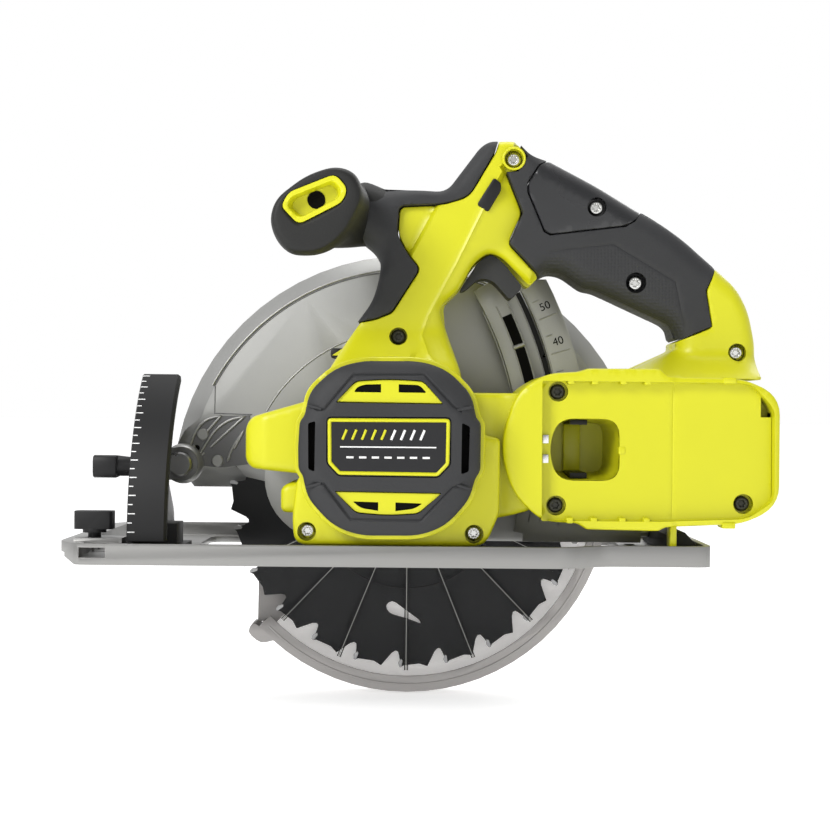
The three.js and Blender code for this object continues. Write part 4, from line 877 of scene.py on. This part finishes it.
# ---------------------------------------------------------------- guards, blade, sole
def guards():
    # Lines pressed in the upper guard's near wall, and its ribbed nose.
    edge_line = arc(HUB, 111.2, 62, 151.7) + [(-98, 68.5), (-79, 68)]
    # The darker grey of this pressed line is painted shade in the crease.
    bead("guard_edge_line_painted_shade", at(17.5, edge_line), 0.3, "casting_dark")
    bead("guard_edge_light", at(17.6, arc(HUB, 112.4, 62, 152)), 0.6, "cast")
    bead("guard_inner_line", at(17.6, arc(HUB, 82, 100, 151)), 0.5, "cast")
    panel("guard_nose_plate", [(-112, 48, 3), (-108, 59, 3), (-101, 67, 3), (-80, 67.6), (-80, 43),
                               (-94, 41, 2), (-107, 42, 2)], 17.0, 17.9, "casting_dark", edge=0.4)
    for k, line in enumerate(([(-111.5, 48), (-108.1, 58.8), (-102.7, 65.4), (-94.8, 67.2)],
                              [(-107.5, 44.4), (-98, 59.9), (-90.5, 65.4), (-83, 66.9)],
                              [(-92.6, 42), (-88.3, 52.4), (-83, 59.9)])):
        smooth_line = outline([(*p, 6) for p in line] + [(line[-1][0] + 0.01, line[-1][1])], 1.5)[:-2]
        bead(f"guard_nose_rib_{k}", at(16.9, smooth_line), 0.75, "cast")
    for k, (x, z, r) in enumerate(((-103.8, 57.7, 3), (-96.3, 44.4, 3))):
        turned(f"guard_nose_pad_{k}", [(0.01, 15.9), (r - 0.5, 15.9), (r, 16.4), (r, 17.4)], x, z, "cast", 32)
    # A dark disc for the slot in the nose: painted shade.
    turned("guard_nose_slot_painted_shade", [(0.01, 16.7), (1.6, 16.7), (1.6, 17.4)], -106.9, 50.8, "dark", 24)
    turned("pivot_boss", [(4.2, 16.2), (4.2, 9.8), (8.6, 9.8), (9.6, 11), (10.2, 17)], *PIVOT, "cast", 48)
    turned("pivot_head", [(0.01, 2.6), (5.2, 2.6), (6.0, 3.2), (6.2, 6.4), (3, 6.4)], *PIVOT, "steel", 32)
    # Rims of the lower guard.
    for k, (r, y) in enumerate(((102.2, 24.6), (99.0, 24.3), (95.8, 24.6))):
        bead(f"guard_rim_{k}", at(y, arc(HUB, r, 225, 368, 2.2)), 0.6, "lower", "lower_guard")
    # Ribs and a ring moulded in the clear window, drawn as dark lines; each rib's pair of dark lines is painted
    # shade, and the lighter line between them a painted highlight.
    for k, angle in enumerate((-65, -43.5, -22, 0, 22, 44, 65)):
        a = math.radians(-90 + angle)
        # Two dark lines of painted shade, with a painted highlight line between them.
        for side, material, r in ((-0.75, "black", 0.3), (0.0, "arm", 0.22), (0.75, "black", 0.3)):
            c, d = math.cos(a), math.sin(a)
            bead(f"window_rib_{k}_{material}_{'n' if side < 0 else 'p'}",
                 at(24.5, [(r0 * c - side * d, BLADE_Z + r0 * d + side * c) for r0 in (26, 60, 92)]),
                 r, material, "lower_guard")
    bead("window_ring", at(25.2, arc(HUB, 50, 225, 315)), 0.3, "black", "lower_guard")
    # A pale lining behind the blade that glows faintly: painted light seen through the guard.
    panel("guard_lining", arc(HUB, 98.5, 226, 366, 3) + arc(HUB, 30, 366, 226, 3),
          40.1, 40.45, "pale", "lower_guard", edge=0)
    # Carbide tips.
    for i in range(TEETH):
        a = math.radians(-1.7 + 360 / TEETH * i)
        c, d = math.cos(a), math.sin(a)
        tip = [(91.9, 0.35), (88.2, 0.75), (87.4, -0.1), (89.6, -1.5), (91.7, -1.0)]
        pts = [(r * c - side * d, y, BLADE_Z + r * d + side * c) for y in (31.85, 34.15) for r, side in tip]
        m = len(tip)
        faces = [tuple(range(m))[::-1], tuple(range(m, 2 * m))]
        faces += [(j, (j + 1) % m, m + (j + 1) % m, m + j) for j in range(m)]
        add_piece(f"carbide_tip_{i}", mesh_from(f"carbide_tip_{i}", pts, faces), "carbide", "spindle")


def numeral(name, words, size, place, turn):
    curve = bpy.data.curves.new(name, "FONT")
    curve.body = words
    curve.size = size * MM
    curve.extrude = 0.12 * MM
    curve.align_x = "CENTER"
    curve.align_y = "CENTER"
    mesh = mesh_of(name, curve)
    mesh.transform(Matrix.Translation(Vector(place) * MM) @ turn)
    add_piece(name, mesh, "dark", "bevel_frame", 30)


def base():
    # Depth scale on the arm: a numeral every 10 mm of cut, a tick every 5.
    for k, words in enumerate(("10", "20", "30", "40", "50")):
        a = 2.3 + 5.4 * k
        turn = Matrix.Rotation(math.radians(90), 4, "X") @ Matrix.Rotation(math.radians(a), 4, "Z")
        x, z = polar(PIVOT, 198.6, a)
        numeral(f"depth_number_{words}", words, 5.6, (x, 7.9, z), turn)
        for j, r1 in enumerate((203, 197)):
            ends = [polar(PIVOT, r, a - 1.5 + 2.7 * j) for r in (193.5, r1)]
            bead(f"depth_tick_{words}_{j}", at(7.95, ends), 0.35, "cast", "bevel_frame")
    # Machined edges of the arm's bars, and the cross ties in its groove.
    for k, r in enumerate((169.2, 176.5, 182.2, 191.6)):
        bead(f"arm_edge_{k}", at(8.1, arc(PIVOT, r, -9, 27, 3)), 0.4, "cast", "bevel_frame")

    def strip(name, r0, r1, a0, a1, face, back, material, body="saw_body", edge=0):
        panel(name, arc(PIVOT, r0, a0, a1, 3) + arc(PIVOT, r1, a1, a0, 3), face, back, material, body, edge=edge)
    # A dark strip on the groove's floor: painted shade.
    strip("arm_groove_painted_shade", 176.8, 181.7, -5, 25, 7.85, 8.05, "dark", "bevel_frame")
    strip("guard_rail", 183.2, 188.5, 3, 27.5, 15.8, 17.4, "arm", edge=0.3)
    # A black strip on the guard wall, seen through the arm's slot: painted shadow in the slot.
    strip("guard_slot_painted_shadow", 188.4, 191.1, 3, 27.5, 16.6, 17.4, "black")
    bead("guard_rail_edge", at(15.8, arc(PIVOT, 188.2, 3, 27.5, 3)), 0.35, "cast")
    for k, a in enumerate((8.9, 19.7)):
        bead(f"arm_tie_{k}", at(8.3, [polar(PIVOT, r, a) for r in (176.3, 182.2)]), 1.2, "arm", "bevel_frame")
    # The quadrant's rolled rim, with a tick every 5 degrees of tilt along its front edge.

    def on_rim(r, t):
        return BEVEL[0] - r * math.cos(t), BEVEL[1] + r * math.sin(t)
    steps = 40
    verts = []
    for i in range(steps + 1):
        t = math.radians(0.6 + 53.4 * i / steps)
        for x, r in ((-126.9, 92.6), (-127.3, 95.8), (-126.6, 96.5), (-110.4, 96.5), (-109.2, 95.3), (-109.2, 92.6)):
            verts.append((x, *on_rim(r, t)))
    faces = [(i + k, i + (k + 1) % 6, i + 6 + (k + 1) % 6, i + 6 + k)
             for i in range(0, steps * 6, 6) for k in range(6)]
    faces += [tuple(range(6))[::-1], tuple(steps * 6 + k for k in range(6))]
    add_piece("quadrant_rim", mesh_from("quadrant_rim", verts, faces), "black", "sole", 30, ["bevel_quadrant"])
    for k in range(21):
        t = math.radians(3 + 2.5 * k)
        x0 = -123.6 if k % 2 == 0 else -124.8
        bead(f"bevel_tick_{k}", [(x, *on_rim(96.4, t)) for x in (-126.9, x0)], 0.28, "white", "sole")


# CAD nodes that keep their shape: material, rounding of the edges and its segments.
SOFTENED = [
    ("right_housing", "lime", 0.8), ("rear_housing_cover", "lime", 0.6), ("end_cap", "lime", 0.45),
    ("trigger", "rubber", 1.6, 3), ("lock_off_button", "black", 0.8), ("upper_guard", "cast", 0.7),
    ("gear_case", "cast", 0.6), ("lower_guard", "lower", 0.45), ("guard_lever", "black", 0.8),
    ("guard_window", "clear", 0.25), ("saw_blade", "blade", 0.12, 1), ("sole_plate", "sole", 0.7),
    ("bevel_quadrant", "black", 0.5), ("rear_hinge_bracket", "black", 0.8),
    ("front_bracket", "casting_dark", 0.5), ("depth_arm", "arm", 0.5), ("bevel_clamp_plate", "zinc", 0.2),
    ("bevel_lock_knob", "black", 1.2, 3), ("fence_thumb_screw", "black", 0.8),
    ("depth_lock_lever", "black", 0.8)]
# Inside nodes, which only get a material.
HIDDEN = {
    "steel": ["front_bevel_pin", "rear_bevel_pin", "depth_pivot_pin", "guard_spring", "spindle", "output_gear",
              "inner_flange", "outer_flange", "spindle_inner_bearing", "spindle_outer_bearing", "rotor_shaft",
              "rotor_core", "motor_front_bearing", "motor_rear_bearing"],
    "zinc": ["depth_lock_bolt", "blade_bolt"],
    "black": ["spindle_lock_button", "cooling_fan", "trigger_switch"],
    "copper": ["stator"],
    "board": ["control_board"]}


def cad_shapes():
    for row in SOFTENED:
        refine(*row)
    for material, nodes in HIDDEN.items():
        for name in nodes:
            mesh = frame["nodes"][name].data
            mesh.materials.clear()
            mesh.materials.append(MATERIALS[material])


camera()
materials()
studio()
housing()
fasteners()
motor_end()
grips()
guards()
base()
cad_shapes()
